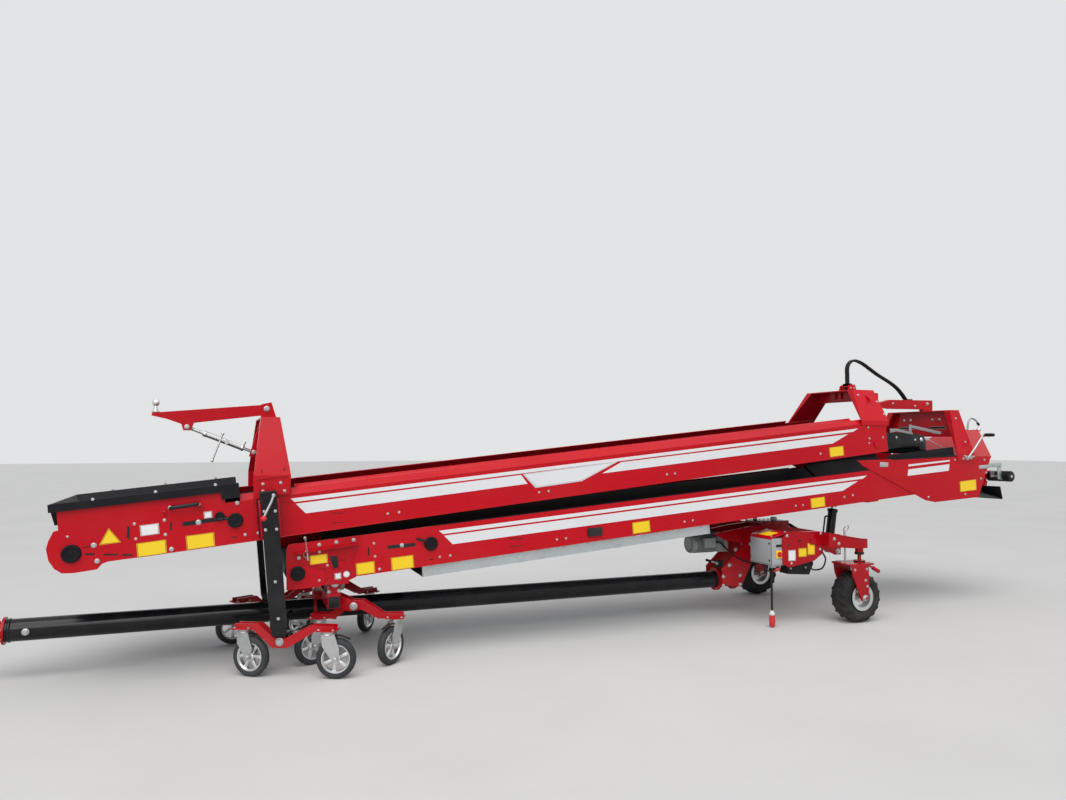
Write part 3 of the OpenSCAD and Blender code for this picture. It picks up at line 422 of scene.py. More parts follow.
def join_rings(fresh, rings, sides):
    """Faces between each ring of points and the next. A ring may be one point on the axis."""
    for first, second in zip(rings, rings[1:]):
        for k in range(sides):
            m = (k + 1) % sides
            corners = (first[k % len(first)], first[m % len(first)], second[m % len(second)],
                       second[k % len(second)])
            corners = list(dict.fromkeys(corners))
            if len(corners) > 2:
                fresh.faces.new(corners)


class Piece:
    """Collects shapes in one mesh. They are drawn in the coordinates of a placement, with y
    counted from the near face that they sit on."""

    def __init__(self, finish, place=ON_GROUND, face=0.0):
        self.mesh = bmesh.new()
        self.place = place @ Matrix.Translation((0, -face, 0))
        self.finishes = [finish]
        self.current = 0

    def use(self, finish):
        if finish not in self.finishes:
            self.finishes.append(finish)
        self.current = self.finishes.index(finish)

    def take(self, fresh, matrix=None):
        """Adds a finished little mesh in the current finish."""
        bmesh.ops.recalc_face_normals(fresh, faces=fresh.faces)
        for face in fresh.faces:
            face.material_index = self.current
        carrier = bpy.data.meshes.new("carrier")
        fresh.to_mesh(carrier)
        fresh.free()
        if matrix:
            carrier.transform(matrix)
        self.mesh.from_mesh(carrier)
        bpy.data.meshes.remove(carrier)

    def prism(self, low, high, edge, segments=2):
        """A solid between points below and as many above them, with its edges eased."""
        fresh = bmesh.new()
        under = [fresh.verts.new(p) for p in low]
        over = [fresh.verts.new(p) for p in high]
        fresh.faces.new(under)
        fresh.faces.new(over[::-1])
        for i in range(len(under)):
            j = (i + 1) % len(under)
            fresh.faces.new((under[i], over[i], over[j], under[j]))
        bmesh.ops.recalc_face_normals(fresh, faces=fresh.faces)
        if edge:
            bmesh.ops.bevel(fresh, geom=fresh.edges[:], offset=edge, segments=segments, profile=0.5,
                            affect="EDGES", clamp_overlap=True)
        self.take(fresh)

    def plate(self, outline, low, high, edge=0.0012, axis="y"):
        """A sheet cut from an outline, from low to high along an axis."""
        put = {"x": lambda a, b, c: (c, a, b), "y": lambda a, b, c: (a, c, b), "z": lambda a, b,
               c: (a, b, c)}[axis]
        under, over = ([put(a, b, level) for a, b in outline] for level in (low, high))
        self.prism(under, over, edge)

    def block(self, low, high, edge=0.002):
        """A box between two corners with rounded edges."""
        (a, c, e), (b, d, f) = low, high
        self.plate(oblong(a, b, e, f), c, d, edge)

    def turned(self, profile, centre, direction=NEAR, sides=24, spin=0.0):
        """Turns a profile of (distance along the axis, radius) about an axis through a centre."""
        fresh = bmesh.new()
        rings = []
        angles = [spin + 2 * math.pi * k / sides for k in range(sides)]
        for height, radius in profile:
            if radius < 1e-6:
                rings.append([fresh.verts.new((0, 0, height))])
            else:
                rings.append([fresh.verts.new((radius * math.cos(t), radius * math.sin(t), height))
                              for t in angles])
        join_rings(fresh, rings, sides)
        aim = Vector(direction).to_track_quat("Z", "X").to_matrix().to_4x4()
        self.take(fresh, Matrix.Translation(centre) @ aim)

    def solid(self, profile, centre, direction=NEAR, sides=24, spin=0.0):
        """Turns a profile and closes both its ends on the axis."""
        closed = [(profile[0][0], 0), *profile, (profile[-1][0], 0)]
        self.turned(closed, centre, direction, sides, spin)

    def rod(self, start, end, radius, sides=16):
        """A round rod with chamfered ends."""
        run = (Vector(end) - Vector(start)).length
        ease = min(radius * 0.25, run * 0.2)
        profile = [(0, radius - ease), (ease, radius), (run - ease, radius), (run, radius - ease)]
        self.solid(profile, start, Vector(end) - Vector(start), sides)

    def bolt(self, x, y, z, size=0.009, direction=NEAR, spin=0.3):
        """A hexagon head on its washer. size is the head's radius over its corners."""
        washer = [(0, size * 1.28), (size * 0.18, size * 1.28), (size * 0.22, size * 1.2)]
        head = [(size * 0.2, size), (size * 0.72, size), (size * 0.86, size * 0.84)]
        self.solid(washer, (x, y, z), direction, 14)
        self.solid(head, (x, y, z), direction, 6, spin)

    def bolts(self, spots, y, turn, size=None):
        """Bolts at (x, z) or (x, z, size), each turned a little differently on its axis."""
        for x, z, *own in spots:
            self.bolt(x, y, z, own[0] if own else size, spin=x * turn)

    def tube(self, points, radius, sides=12, smooth=6):
        """A round bar or hose that bends through the given points."""
        path = curve_through(points, smooth)
        fresh = bmesh.new()
        side = Vector((0, 1, 0)).cross(path[1] - path[0])
        if side.length < 1e-6:
            side = Vector((1, 0, 0))
        rings = []
        for i, point in enumerate(path):
            run = (path[min(i + 1, len(path) - 1)] - path[max(i - 1, 0)]).normalized()
            side = (side - run * side.dot(run)).normalized()
            other = run.cross(side)
            angles = [2 * math.pi * k / sides for k in range(sides)]
            spokes = [math.cos(t) * side + math.sin(t) * other for t in angles]
            rings.append([fresh.verts.new(point + radius * spoke) for spoke in spokes])
        join_rings(fresh, rings, sides)
        fresh.faces.new(rings[0][::-1])
        fresh.faces.new(rings[-1])
        self.take(fresh)

    def done(self, name, body, both=False):
        """Turns the shapes into an object that rides on a body. both adds the far side's twin."""
        self.mesh.transform(self.place)
        mesh = bpy.data.meshes.new(name)
        self.mesh.to_mesh(mesh)
        if both:
            mesh.transform(Matrix.Diagonal((1, -1, 1, 1)))
            mesh.flip_normals()
            self.mesh.from_mesh(mesh)
            self.mesh.to_mesh(mesh)
        self.mesh.free()
        mesh.polygons.foreach_set("use_smooth", [True] * len(mesh.polygons))
        mesh.set_sharp_from_angle(angle=math.radians(SHARP_FROM))
        for finish in self.finishes:
            mesh.materials.append(finish.material)
        piece = bpy.data.objects.new(name, mesh)
        bpy.context.scene.collection.objects.link(piece)
        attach(piece, body)
        print(name, "has", len(mesh.polygons), "faces on", body)
        return piece


def curve_through(points, smooth):
    """A smooth path through points, with the given number of steps between each two."""
    points = [Vector(p) for p in points]
    if smooth < 2:
        return points
    path = []
    for i in range(len(points) - 1):
        a, b = points[max(i - 1, 0)], points[i]
        c, d = points[i + 1], points[min(i + 2, len(points) - 1)]
        for k in range(smooth):
            t = k / smooth
            bend = 2 * a - 5 * b + 4 * c - d
            twist = 3 * b - a - 3 * c + d
            path.append(0.5 * (2 * b + (c - a) * t + bend * t * t + twist * t ** 3))
    return path + [points[-1]]

# %% [markdown]
# Three free lengths of hose and cable hang on the machine: two hydraulic hoses that arch from the
# lower portal over to the upper one, and the short supply lead under the control cabinet. Each is
# one curve with one spline, so its length can be measured and kept. The supply lead shows from end
# to end, so it is as short as it looks, and ends in a red five-pin plug with a pale collar.

# %% Hoses and supply lead
HOSE_ROUTE = [
    (6.33, 0.05, 1.88), (6.316, 0.05, 1.88), (6.29, 0.05, 1.896), (6.24, 0.048, 1.95),
    (6.17, 0.046, 2.01), (6.09, 0.042, 2.055), (6.01, 0.036, 2.09), (5.93, 0.028, 2.122),
    (5.86, 0.02, 2.154), (5.79, 0.014, 2.19), (5.72, 0.008, 2.224), (5.655, 0.002, 2.245),
    (5.612, 0.0, 2.252), (5.577, 0.0, 2.245), (5.547, 0.0, 2.225), (5.527, 0.0, 2.195),
    (5.52, 0.0, 2.16), (5.52, 0.0, 2.11), (5.52, 0.0, 2.06), (5.52, 0.0, 2.01),
    (5.52, 0.0, 1.91),
]
LEAD_ROUTE = [
    (4.172, -0.576, 0.47), (4.172, -0.576, 0.456), (4.171, -0.577, 0.44), (4.167, -0.58, 0.405),
    (4.162, -0.584, 0.365), (4.158, -0.587, 0.325), (4.155, -0.59, 0.285), (4.154, -0.591, 0.245),
    (4.153, -0.592, 0.205), (4.153, -0.592, 0.165), (4.153, -0.592, 0.135),
]


def cord_curve(name, route, diameter, finish, body):
    """One open spline through a route, as thick as the cord, and its length."""
    path = curve_through([ON_GROUND @ Vector(p) for p in route], 4)
    data = bpy.data.curves.new(name, "CURVE")
    data.dimensions = "3D"
    data.bevel_depth = diameter / 2
    data.bevel_resolution = 5
    data.use_fill_caps = True
    line = data.splines.new("POLY")
    line.points.add(len(path) - 1)
    for place, point in zip(line.points, path):
        place.co = (*point, 1)
    line.use_smooth = True
    data.materials.append(finish.material)
    cord = bpy.data.objects.new(name, data)
    bpy.context.scene.collection.objects.link(cord)
    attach(cord, body)
    length = sum((b - a).length for a, b in zip(path, path[1:]))
    print(name, "is", round(length, 3), "m long")
    return cord, path[0], length


HOSE_D = 0.022
for number, shift in ((1, -0.013), (2, 0.013)):
    shifted = [(x, y + shift, z) for x, y, z in HOSE_ROUTE]
    hose, leaves, length = cord_curve(f"hydraulic_hose_{number}", shifted, HOSE_D, CABLE,
                                      "lower_conveyor")
    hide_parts(f"hose_{number}")

# %% Supply plug
LEAD_D = 0.018
lead, leaves, length = cord_curve("supply_lead", LEAD_ROUTE, LEAD_D, CABLE, "chassis")
plug = Piece(PLUG_RED)
tip = Vector((*LEAD_ROUTE[-1][:2], 0.0))
plug.solid([(0.012, 0.0225), (0.016, 0.024), (0.05, 0.024), (0.052, 0.0258), (0.058, 0.0258),
            (0.06, 0.0235), (0.092, 0.0215), (0.098, 0.0195)], tip, UP, 40)
for k in range(16):
    t = 2 * math.pi * k / 16
    foot = tip + Vector((0.0222 * math.cos(t), 0.0222 * math.sin(t), 0.062))
    plug.rod(foot, foot + Vector((-0.0012 * math.cos(t), -0.0012 * math.sin(t), 0.03)), 0.0018, 6)
plug.use(PLASTIC_WHITE)
plug.solid([(0.098, 0.0205), (0.101, 0.022), (0.113, 0.022), (0.116, 0.0195)], tip, UP, 24)
plug.solid([(0.116, 0.0185), (0.124, 0.0165), (0.126, 0.0125), (0.134, 0.0105)], tip, UP, 12)
plug_piece = plug.done("supply_plug_body", "chassis")
relief = Piece(CABLE)
relief.turned([(0, 0), (0, 0.0155), (0.01, 0.0155), (0.014, 0.0135), (0.03, 0.0115), (0.045, 0.01),
               (0.045, 0.0088)], (*LEAD_ROUTE[0][:2], 0.5), DOWN, 20)
relief.done("supply_lead_relief", "chassis")
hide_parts("supply_cable")
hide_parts("supply_plug")

# %% [markdown]
# Two white film stripes run along each side panel, a thin one over a thick one, and their ends are
# cut on the slant. They could be painted with a mask in the red material, but a mask goes soft
# close up. On the machine they are film with a real edge, so here they are thin sheets on the
# panel. A blank plaque fills the gap of the thick upper stripe: one pale film with another a little
# inside it.

# %% Stripes
FILM = 0.0006
SINK = 0.0002


def film(piece, outline):
    """A sheet of film on the face of a piece."""
    piece.plate(outline, -FILM, SINK, 0)


upper_stripes = Piece(STRIPE, ON_UPPER, PANEL_Y)
film(upper_stripes, [(1.265, 0.163), (1.288, 0.138), (5.962, 0.133), (6.024, 0.156)])
film(upper_stripes, [(1.295, 0.126), (1.352, 0.055), (2.914, 0.057), (2.872, 0.126)])
film(upper_stripes, [(3.69, 0.126), (3.52, 0.06), (5.728, 0.056), (5.905, 0.118)])
upper_stripes.done("upper_stripes", "upper_conveyor", both=True)
lower_stripes = Piece(STRIPE, ON_LOWER, PANEL_Y)
film(lower_stripes, [(0.961, 0.152), (0.989, 0.126), (4.753, 0.124), (4.802, 0.147)])
film(lower_stripes, [(0.995, 0.114), (1.051, 0.047), (4.521, 0.044), (4.698, 0.11)])
lower_stripes.done("lower_stripes", "lower_conveyor", both=True)
plaque = Piece(BADGE, ON_UPPER, PANEL_Y)
film(plaque, [(2.884, 0.131), (3.664, 0.135), (3.346, 0.023), (2.972, 0.019)])
plaque.use(STRIPE)
plaque.plate([(2.904, 0.122), (3.618, 0.126), (3.336, 0.033), (2.986, 0.03)], -0.0011, -FILM, 0)
plaque.done("blank_plaque", "upper_conveyor", both=True)

# %% [markdown]
# Blank film signs sit on the panels: yellow rectangles, one triangle and small white squares. Each
# is a film of one colour with a thin dark line just inside its edge, and nothing is drawn on them.
# The line is a film of its own between two others, since a drawn line would need a picture.

# %% Blank signs
LINE = 0.0008
FIELD = 0.001
BRACKET = 0.008


def resized(outline, part):
    """An outline drawn larger or smaller about its middle."""
    middle = sum((Vector(p) for p in outline), Vector((0, 0))) / len(outline)
    return [middle + (Vector(p) - middle) * part for p in outline]


def sign(piece, corners, colour, border=0.004):
    """A blank sign: a film, a dark line inside its edge and a field of the same colour."""
    middle = sum((Vector(p) for p in corners), Vector((0, 0))) / len(corners)
    inset = border / max(math.dist(p, middle) for p in corners)
    piece.use(colour)
    film(piece, corners)
    piece.use(BLACK_PLASTIC_AND_SHADE)
    piece.plate(resized(corners, 1 - inset * 0.8), -LINE, -FILM, 0)
    piece.use(colour)
    piece.plate(resized(corners, 1 - inset * 1.6), -FIELD, -LINE, 0)


def signs(name, body, place, face, rows, both=True):
    """A piece of signs. A row is (corners, colour) or (corners, colour, width of its border)."""
    piece = Piece(rows[0][1], place, face)
    for row in rows:
        sign(piece, *row)
    piece.done(name, body, both)


SPOT = [(0.312 + 0.021 * math.cos(k * math.pi / 12), -0.052 + 0.021 * math.sin(k * math.pi / 12))
        for k in range(24)]
signs("upper_signs", "upper_conveyor", ON_UPPER, PANEL_Y, [
    (oblong(0.349, 0.512, -0.076, 0.008), YELLOW),
    (oblong(0.626, 0.788, -0.073, 0.013), YELLOW),
    (oblong(5.686, 5.838, -0.058, 0.024), YELLOW),
    ([(0.15, 0.029), (0.266, 0.029), (0.208, 0.122)], YELLOW, 0.006),
    (oblong(0.376, 0.48, 0.049, 0.114), WHITE_FILM),
    (oblong(0.74, 0.787, 0.106, 0.147), WHITE_FILM),
])
signs("lower_signs", "lower_conveyor", ON_LOWER, PANEL_Y, [
    (oblong(0.379, 0.502, -0.07, 0.007), YELLOW),
    (oblong(0.615, 0.768, -0.074, 0.012), YELLOW),
    (oblong(2.47, 2.621, -0.064, 0.022), YELLOW),
    (oblong(4.172, 4.321, -0.066, 0.016), YELLOW),
])
signs("bracket_signs", "lower_conveyor", ON_LOWER, PANEL_Y + BRACKET, [
    (oblong(0.086, 0.198, 0.041, 0.1), YELLOW),
    (oblong(0.236, 0.277, -0.076, -0.037), WHITE_FILM),
    (SPOT, WHITE_FILM, 0.002),
])

# %% [markdown]
# The head of the upper conveyor carries the belt's adjusters: a bolt in a long slot, a big round
# rubber cap over the drum's bearing, two more caps behind it, and a bent handle. Bolt heads are
# plated steel on washers. The slots are not cut: each is a black field of painted shade, where the
# dark inside of the head would show, within a painted edge.

# %% Fittings of the upper head
def round_ended(start, end, radius):
    """The outline of a slot with round ends, from start to end."""
    heading = math.atan2(end[1] - start[1], end[0] - start[0])
    outline = []
    for (a, b), quarter in ((start, math.pi / 2), (end, -math.pi / 2)):
        for k in range(9):
            t = heading + quarter + math.pi * k / 8
            outline.append((a + radius * math.cos(t), b + radius * math.sin(t)))
    return outline


def rim_and_painted_shade(piece, outlines, out=0.0):
    """A painted rim and, a little prouder, a black field inside it: painted shade, not a cut."""
    for finish, proud, outline in zip((RED_DEEP, BLACK_PLASTIC_AND_SHADE), (0.0005, 0.0009), outlines):
        piece.use(finish)
        piece.plate(outline, -out - proud, -out + SINK, 0)


def painted_shade_slots(piece, rows):
    """Slots of painted shade with round ends and a thin painted edge. A row is (start, end, width).
    """
    for start, end, width in rows:
        rim_and_painted_shade(piece, [round_ended(start, end, width / 2 + grow) for grow in (0.0016, 0)])


def round_cap(piece, s, n, radius, out=0.0, depth=0.016):
    """A moulded cap with a rolled rim and a shallow dished middle."""
    piece.use(SHEET)
    piece.turned([(0, 0), (0, radius), (depth * 0.5, radius), (depth * 0.8, radius * 0.95),
                  (depth, radius * 0.86), (depth, radius * 0.74), (depth * 0.72, radius * 0.66),
                  (depth * 0.7, radius * 0.3), (depth * 0.86, radius * 0.24), (depth * 0.86, 0)],
                 (s, -out, n), NEAR, 32)


# Each bolt has its place and the radius of its washer, of which the head is this part.
HEAD = 0.76
UPPER_BOLTS = [
    (0.122, 0.032, 0.016), (0.132, -0.064, 0.015), (0.348, 0.128, 0.009), (0.348, 0.037, 0.009),
    (0.514, 0.128, 0.01), (0.513, 0.039, 0.01), (0.539, -0.055, 0.014), (0.941, 0.177, 0.013),
    (0.971, -0.029, 0.01), (1.048, -0.029, 0.009), (-0.011, 0.103, 0.007), (1.885, -0.02, 0.009),
    (1.962, -0.021, 0.009), (2.997, -0.016, 0.009), (3.073, -0.017, 0.009), (4.077, -0.014, 0.009),
    (4.15, -0.015, 0.009), (5.588, -0.017, 0.01), (6.135, 0.154, 0.01), (6.137, 0.057, 0.01),
    (6.127, 0.018, 0.009), (6.226, 0.004, 0.012), (6.29, 0.05, 0.01), (0.705, 0.087, 0.017),
]


def heads(washers):
    """The same bolts with the radius of their heads."""
    return [(s, n, radius * HEAD) for s, n, radius in washers]


upper_bolts = Piece(PLATED, ON_UPPER, PANEL_Y)
upper_bolts.bolts(heads(UPPER_BOLTS), 0, 7)
upper_bolts.done("upper_bolts", "upper_conveyor", both=True)
head_gear = Piece(SHEET, ON_UPPER, PANEL_Y)
round_cap(head_gear, 0.001, 0.0, 0.054, depth=0.02)
round_cap(head_gear, 0.919, 0.071, 0.047, 0.012, 0.008)
round_cap(head_gear, 0.83, 0.108, 0.029, 0.008, 0.01)
head_gear.use(BLACK_PLASTIC_AND_SHADE)
head_gear.rod((0.795, -0.01, 0.092), (0.88, -0.01, 0.088), 0.008, 10)
painted_shade_slots(head_gear, [
    ((0.624, 0.088), (0.866, 0.093), 0.026), ((0.314, 0.112), (0.308, 0.049), 0.013),
    ((0.55, 0.108), (0.545, 0.061), 0.01), ((0.078, -0.014), (0.116, -0.02), 0.012),
    ((0.172, -0.031), (0.24, -0.041), 0.009), ((0.272, -0.049), (0.316, -0.056), 0.011),
    ((0.893, -0.032), (0.916, -0.037), 0.007), ((0.066, 0.026), (0.11, 0.031), 0.006),
    ((1.524, 0.033), (1.594, 0.024), 0.004), ((1.518, -0.031), (1.59, -0.037), 0.004),
])
head_gear.use(BLACK_PLASTIC_AND_SHADE)
head_gear.tube([(0.557, -0.004, 0.196), (0.56, -0.034, 0.198), (0.58, -0.042, 0.2),
                (0.69, -0.042, 0.203), (0.707, -0.034, 0.204), (0.709, -0.004, 0.204)], 0.0125)
head_gear.use(PLATED)
for s in (0.552, 0.714):
    head_gear.bolt(s, -0.002, 0.2, 0.009)
head_gear.use(RED_DEEP)
for s, n in ((0.519, 0.17), (0.729, 0.178)):
    head_gear.solid([(0, 0.016), (0.006, 0.016), (0.008, 0.013), (0.008, 0.008), (0.003, 0.007)],
                    (s, 0, n))
head_gear.done("upper_head_fittings", "upper_conveyor", both=True)

# %% [markdown]
# The lower conveyor's head is bolted to a bent bracket that hangs in the cross beam's hinge. Its
# fittings are the same family as above: a cap over the drum's bearing, an adjuster bolt in its
# slot, and pairs of bolts along the panel where the cross ties end. The window in the bracket is
# drawn like a slot, as a black field of painted shade with a painted rim.

# %% Fittings of the lower head
LOWER_BOLTS = [
    (0.153, 0.162, 0.013), (0.263, 0.164, 0.013), (0.509, 0.125, 0.009), (0.51, 0.037, 0.009),
    (0.533, -0.052, 0.01), (0.136, -0.068, 0.009), (0.696, 0.087, 0.015), (0.953, -0.028, 0.009),
    (1.028, -0.029, 0.009), (1.839, -0.023, 0.009), (1.913, -0.024, 0.009), (2.931, -0.026, 0.009),
    (3.007, -0.025, 0.009), (4.014, -0.026, 0.009), (4.088, -0.029, 0.009), (4.532, -0.011, 0.01),
    (4.626, -0.006, 0.01),
]
lower_bolts = Piece(PLATED, ON_LOWER, PANEL_Y)
lower_bolts.bolts(heads(LOWER_BOLTS), 0, 5)
lower_bolts.bolts(heads([(0.375, 0.166, 0.013), (0.194, 0.023, 0.009), (0.018, 0.096, 0.012),
                         (0.15, 0.118, 0.01)]), -BRACKET, 5)
lower_bolts.done("lower_bolts", "lower_conveyor", both=True)
lower_gear = Piece(SHEET, ON_LOWER, PANEL_Y)
round_cap(lower_gear, 0.004, -0.002, 0.047, 0.012, 0.01)
round_cap(lower_gear, 0.898, 0.072, 0.048)
lower_gear.use(BLACK_PLASTIC_AND_SHADE)
lower_gear.rod((0.8, -0.008, 0.12), (0.872, -0.012, 0.092), 0.008, 10)
window = [(0.21, 0.081), (0.262, 0.078), (0.264, 0.002), (0.233, -0.006)]
rim_and_painted_shade(lower_gear, [resized(window, 1.08), window], BRACKET)
painted_shade_slots(lower_gear, [
    ((0.608, 0.086), (0.779, 0.081), 0.024), ((1.477, 0.031), (1.571, 0.019), 0.005),
    ((1.472, -0.027), (1.567, -0.032), 0.005), ((0.88, -0.034), (0.902, -0.036), 0.007),
    ((0.47, 0.1), (0.468, 0.052), 0.01),
])
lower_gear.use(BLACK_PLASTIC_AND_SHADE)
lower_gear.plate([(2.093, 0.029), (2.212, 0.022), (2.206, -0.039), (2.087, -0.034)],
                 -0.014, 0.001, 0.003)
lower_gear.plate([(2.104, 0.018), (2.15, 0.016), (2.148, -0.026), (2.1, -0.024)],
                 -0.019, -0.013, 0.002)
lower_gear.done("lower_head_fittings", "lower_conveyor", both=True)

# %% [markdown]
# A locking pin hangs on a short chain below the near bracket, ready to fix the two conveyors for
# the road. The chain is made link by link: each link is a closed round bar, and every second one is
# turned a quarter, which is what makes a chain look like a chain even when it is only a few
# millimetres thick.

# %% Pin on a chain
def ring_points(centre, wide, tall, turned_by):
    """A closed long link in the x-z plane, turned about its upright axis."""
    x, y, z = centre
    points = []
    for k in range(13):
        t = 2 * math.pi * k / 12
        out = wide * math.cos(t)
        points.append((x + out * math.cos(turned_by), y + out * math.sin(turned_by),
                       z + tall * math.sin(t)))
    return points


chain = Piece(PLATED, ON_GROUND, PANEL_Y)
for k in range(6):
    spot = (0.546 + 0.0015 * k, -0.018, 0.842 - 0.0125 * k)
    chain.tube(ring_points(spot, 0.0042, 0.0085, math.pi / 2 * (k % 2)), 0.0013, 6, 1)
chain.bolt(0.544, 0, 0.852, 0.007)
chain.rod((0.556, -0.017, 0.776), (0.562, -0.015, 0.706), 0.0065, 12)
chain.tube([(0.556, -0.017, 0.772), (0.54, -0.016, 0.76), (0.536, -0.016, 0.738),
            (0.55, -0.016, 0.724)], 0.002, 8)
chain.done("pin_on_chain", "lower_conveyor")

# %% [markdown]
# The rubber funnel over the left hopper is a thick sheet folded over a steel strip, and three bolts
# hold it. Its upper edge rolls outward. The sheet itself is the construction's; the rolled lip, the
# folded ends and the bolts are added here, because they tell the eye that the black part is a sheet
# and not a box.

# %% Rubber of the upper hopper
skirt_lip = Piece(SHEET, ON_UPPER, PANEL_Y)
skirt_lip.tube([(-0.09, -0.012, 0.2985), (0.3, -0.0132, 0.2992), (0.64, -0.0118, 0.2986),
                (0.956, -0.0126, 0.299)], 0.0062, 10, 8)
for s in (-0.052, 0.952):
    skirt_lip.block((s - 0.004, -0.0182, 0.26), (s + 0.004, -0.015, 0.293), 0.0012)
skirt_lip.block((-0.046, -0.0172, 0.261), (0.946, -0.0155, 0.265), 0.0007)
skirt_lip.use(PLATED)
for x, z in ((-0.006, 1.207), (-0.346, 1.171), (-0.685, 1.133)):
    spot = ON_UPPER.inverted() @ (ON_GROUND @ Vector((x, 0, z)))
    skirt_lip.bolt(spot.x, -0.016, spot.z, 0.0078, spin=x * 9)
skirt_lip.done("upper_skirt_lip", "upper_conveyor", both=True)

# %% [markdown]
# Each crank leg has a square outer tube that is bolted to the front portal through a clamp box, and
# a crank with a red knob that winds the castors down. The box, the strip between box and portal,
# the lever and the knob ride with the upper conveyor; the bolts go all the way through and show as
# plain plated heads.

# %% Clamp boxes and crank legs
LEG_FACE = 0.64
clamp = Piece(PLATED, ON_GROUND, PANEL_Y)
clamp.bolts([(0.276, 1.208), (0.384, 1.215), (0.277, 1.163), (0.409, 1.163)], -0.0344, 9, 0.0075)
# The strip is the ledge below the portal's leaning face, in the deeper red, partly as painted shade
# under its overhang.
clamp.use(RED_DEEP)
clamp.plate([(0.232, 1.24), (0.43, 1.262), (0.43, 1.256), (0.232, 1.234)], -0.015, -0.007, 0.0008)
# The two black drop shapes are slots in the portal's face, drawn as painted shade, not cut.
clamp.use(BLACK_PLASTIC_AND_SHADE)
for x, z in ((0.27, 1.284), (0.406, 1.299)):
    clamp.plate([(x - 0.0045, z - 0.016), (x + 0.0045, z - 0.015), (x + 0.0035, z + 0.01),
                 (x - 0.001, z + 0.018)], -0.009 + (z - 1.262) * 0.24, 0.001, 0)
clamp.done("leg_clamp_bolts", "upper_conveyor", both=True)
LEG_TILT = math.radians(5.36)
LEG_AXIS = Vector((math.sin(LEG_TILT), 0, -math.cos(LEG_TILT)))
LEG_ACROSS = Vector((math.cos(LEG_TILT), 0, math.sin(LEG_TILT)))
LEG_TOP = Vector((0.301, 0, 1.163))
CRANK_HUB = (0.022, 0.03)


def on_leg(down, across, y):
    """A point beside the crank leg, from its distance down the tube and across it."""
    spot = LEG_TOP + LEG_AXIS * down + LEG_ACROSS * across
    return (spot.x, y, spot.z)


def leg_oblong(top, bottom, left, right):
    """A rectangle that leans with the leg, as an outline in x and z."""
    corners = ((top, left), (top, right), (bottom, right), (bottom, left))
    return [on_leg(down, across, 0)[::2] for down, across in corners]


leg_gear = Piece(PLATED, ON_GROUND, LEG_FACE)
for down, across in ((0.118, -0.032), (0.122, 0.034), (0.232, -0.033), (0.236, 0.033), (0.56, 0.0),
                     (0.79, 0.0)):
    leg_gear.bolt(*on_leg(down, across, 0), size=0.0075, spin=down * 8)
leg_gear.use(RED_DEEP)
for across in (-0.056, 0.056):
    leg_gear.plate(leg_oblong(0.045, 0.285, across - 0.006, across + 0.006), 0.012, 0.088, 0.001)
leg_gear.use(PLATED)
leg_gear.rod(on_leg(*CRANK_HUB, 0.01), on_leg(*CRANK_HUB, -0.02), 0.011, 16)
leg_gear.tube([on_leg(*CRANK_HUB, -0.014), (0.32, -0.016, 1.105), (0.297, -0.02, 1.055),
               (0.277, -0.024, 1.01)], 0.0075, 12)
leg_gear.use(PLUG_RED)
leg_gear.turned([(0, 0), (0, 0.01), (0.004, 0.0155), (0.014, 0.0185), (0.024, 0.0155),
                 (0.029, 0.008), (0.03, 0)], (0.276, -0.02, 1.004), NEAR, 24)
leg_gear.use(BLACK_PLASTIC_AND_SHADE)
leg_gear.plate(leg_oblong(-0.004, 0.006, -0.052, 0.052), -0.002, 0.098, 0.002)
leg_gear.done("crank_leg_gear", "upper_conveyor", both=True)

# %% [markdown]
# The ball arm above the left hopper is held by a turnbuckle. A turnbuckle has a left and a right
# thread, so turning its middle by the T-handle lengthens it. The threads are real rings here, since
# at this thickness a bump would show as a smooth bar in outline.

# %% Ball arm and turnbuckle
arm_bolts = Piece(PLATED)
arm_bolts.bolt(0.316, -0.044, 1.709, 0.0155)
arm_bolts.bolt(0.238, -0.044, 1.406, 0.0125)
arm_bolts.done("portal_pivot_bolts", "upper_conveyor", both=True)
SCREW_A = Vector((-0.194, 0, 1.579))
SCREW_B = Vector((0.238, 0, 1.406))
SCREW_DIR = (SCREW_A - SCREW_B).normalized()
arm_end = Piece(PLATED)
arm_end.bolt(SCREW_A.x, -0.022, SCREW_A.z, 0.013)
arm_end.bolt(SCREW_A.x, 0.022, SCREW_A.z, 0.013, FAR)
arm_end.solid([(0, 0.026), (0.004, 0.027), (0.006, 0.025), (0.006, 0.012)],
              (-0.389, 0, 1.676), UP, 28)
arm_end.done("arm_end_bolts", "ball_arm")
# The thread that shows stays outside the tube even when the arm is screwed right down.
PITCH, CREST = 0.0035, 0.0017
thread = Piece(PLATED)
profile = []
for k in range(6):
    profile += [(PITCH * k, 0.0108), (PITCH * k + CREST, 0.0124)]
thread.turned([(0, 0)] + profile + [(PITCH * 6, 0)], SCREW_B + SCREW_DIR * 0.4225, SCREW_DIR, 18)
thread.done("turnbuckle_thread", "spindle_rod")
buckle = Piece(BALL_STEEL)
for down in (0.072, 0.332):
    buckle.turned(collar(0.0192, 0.0215, 0.02, 0.004), SCREW_B + SCREW_DIR * down, SCREW_DIR, 24)
buckle.rod((0.031, -0.03, 1.527), (-0.029, -0.03, 1.357), 0.007, 14)
for x, z in ((0.0335, 1.534), (-0.0315, 1.35)):
    buckle.solid([(-0.009, 0.007), (-0.005, 0.01), (0.005, 0.01), (0.009, 0.007)], (x, -0.03, z),
                 (0.333, 0, 0.943), 18)
buckle.turned([(0, 0.011), (0, 0.015), (0.003, 0.016), (0.016, 0.016), (0.019, 0.0145), (0.019, 0)],
              (0.0616, -0.018, 1.4766), NEAR, 20)
buckle.rod((0.164, -0.012, 1.436), (0.184, -0.03, 1.482), 0.0045, 12)
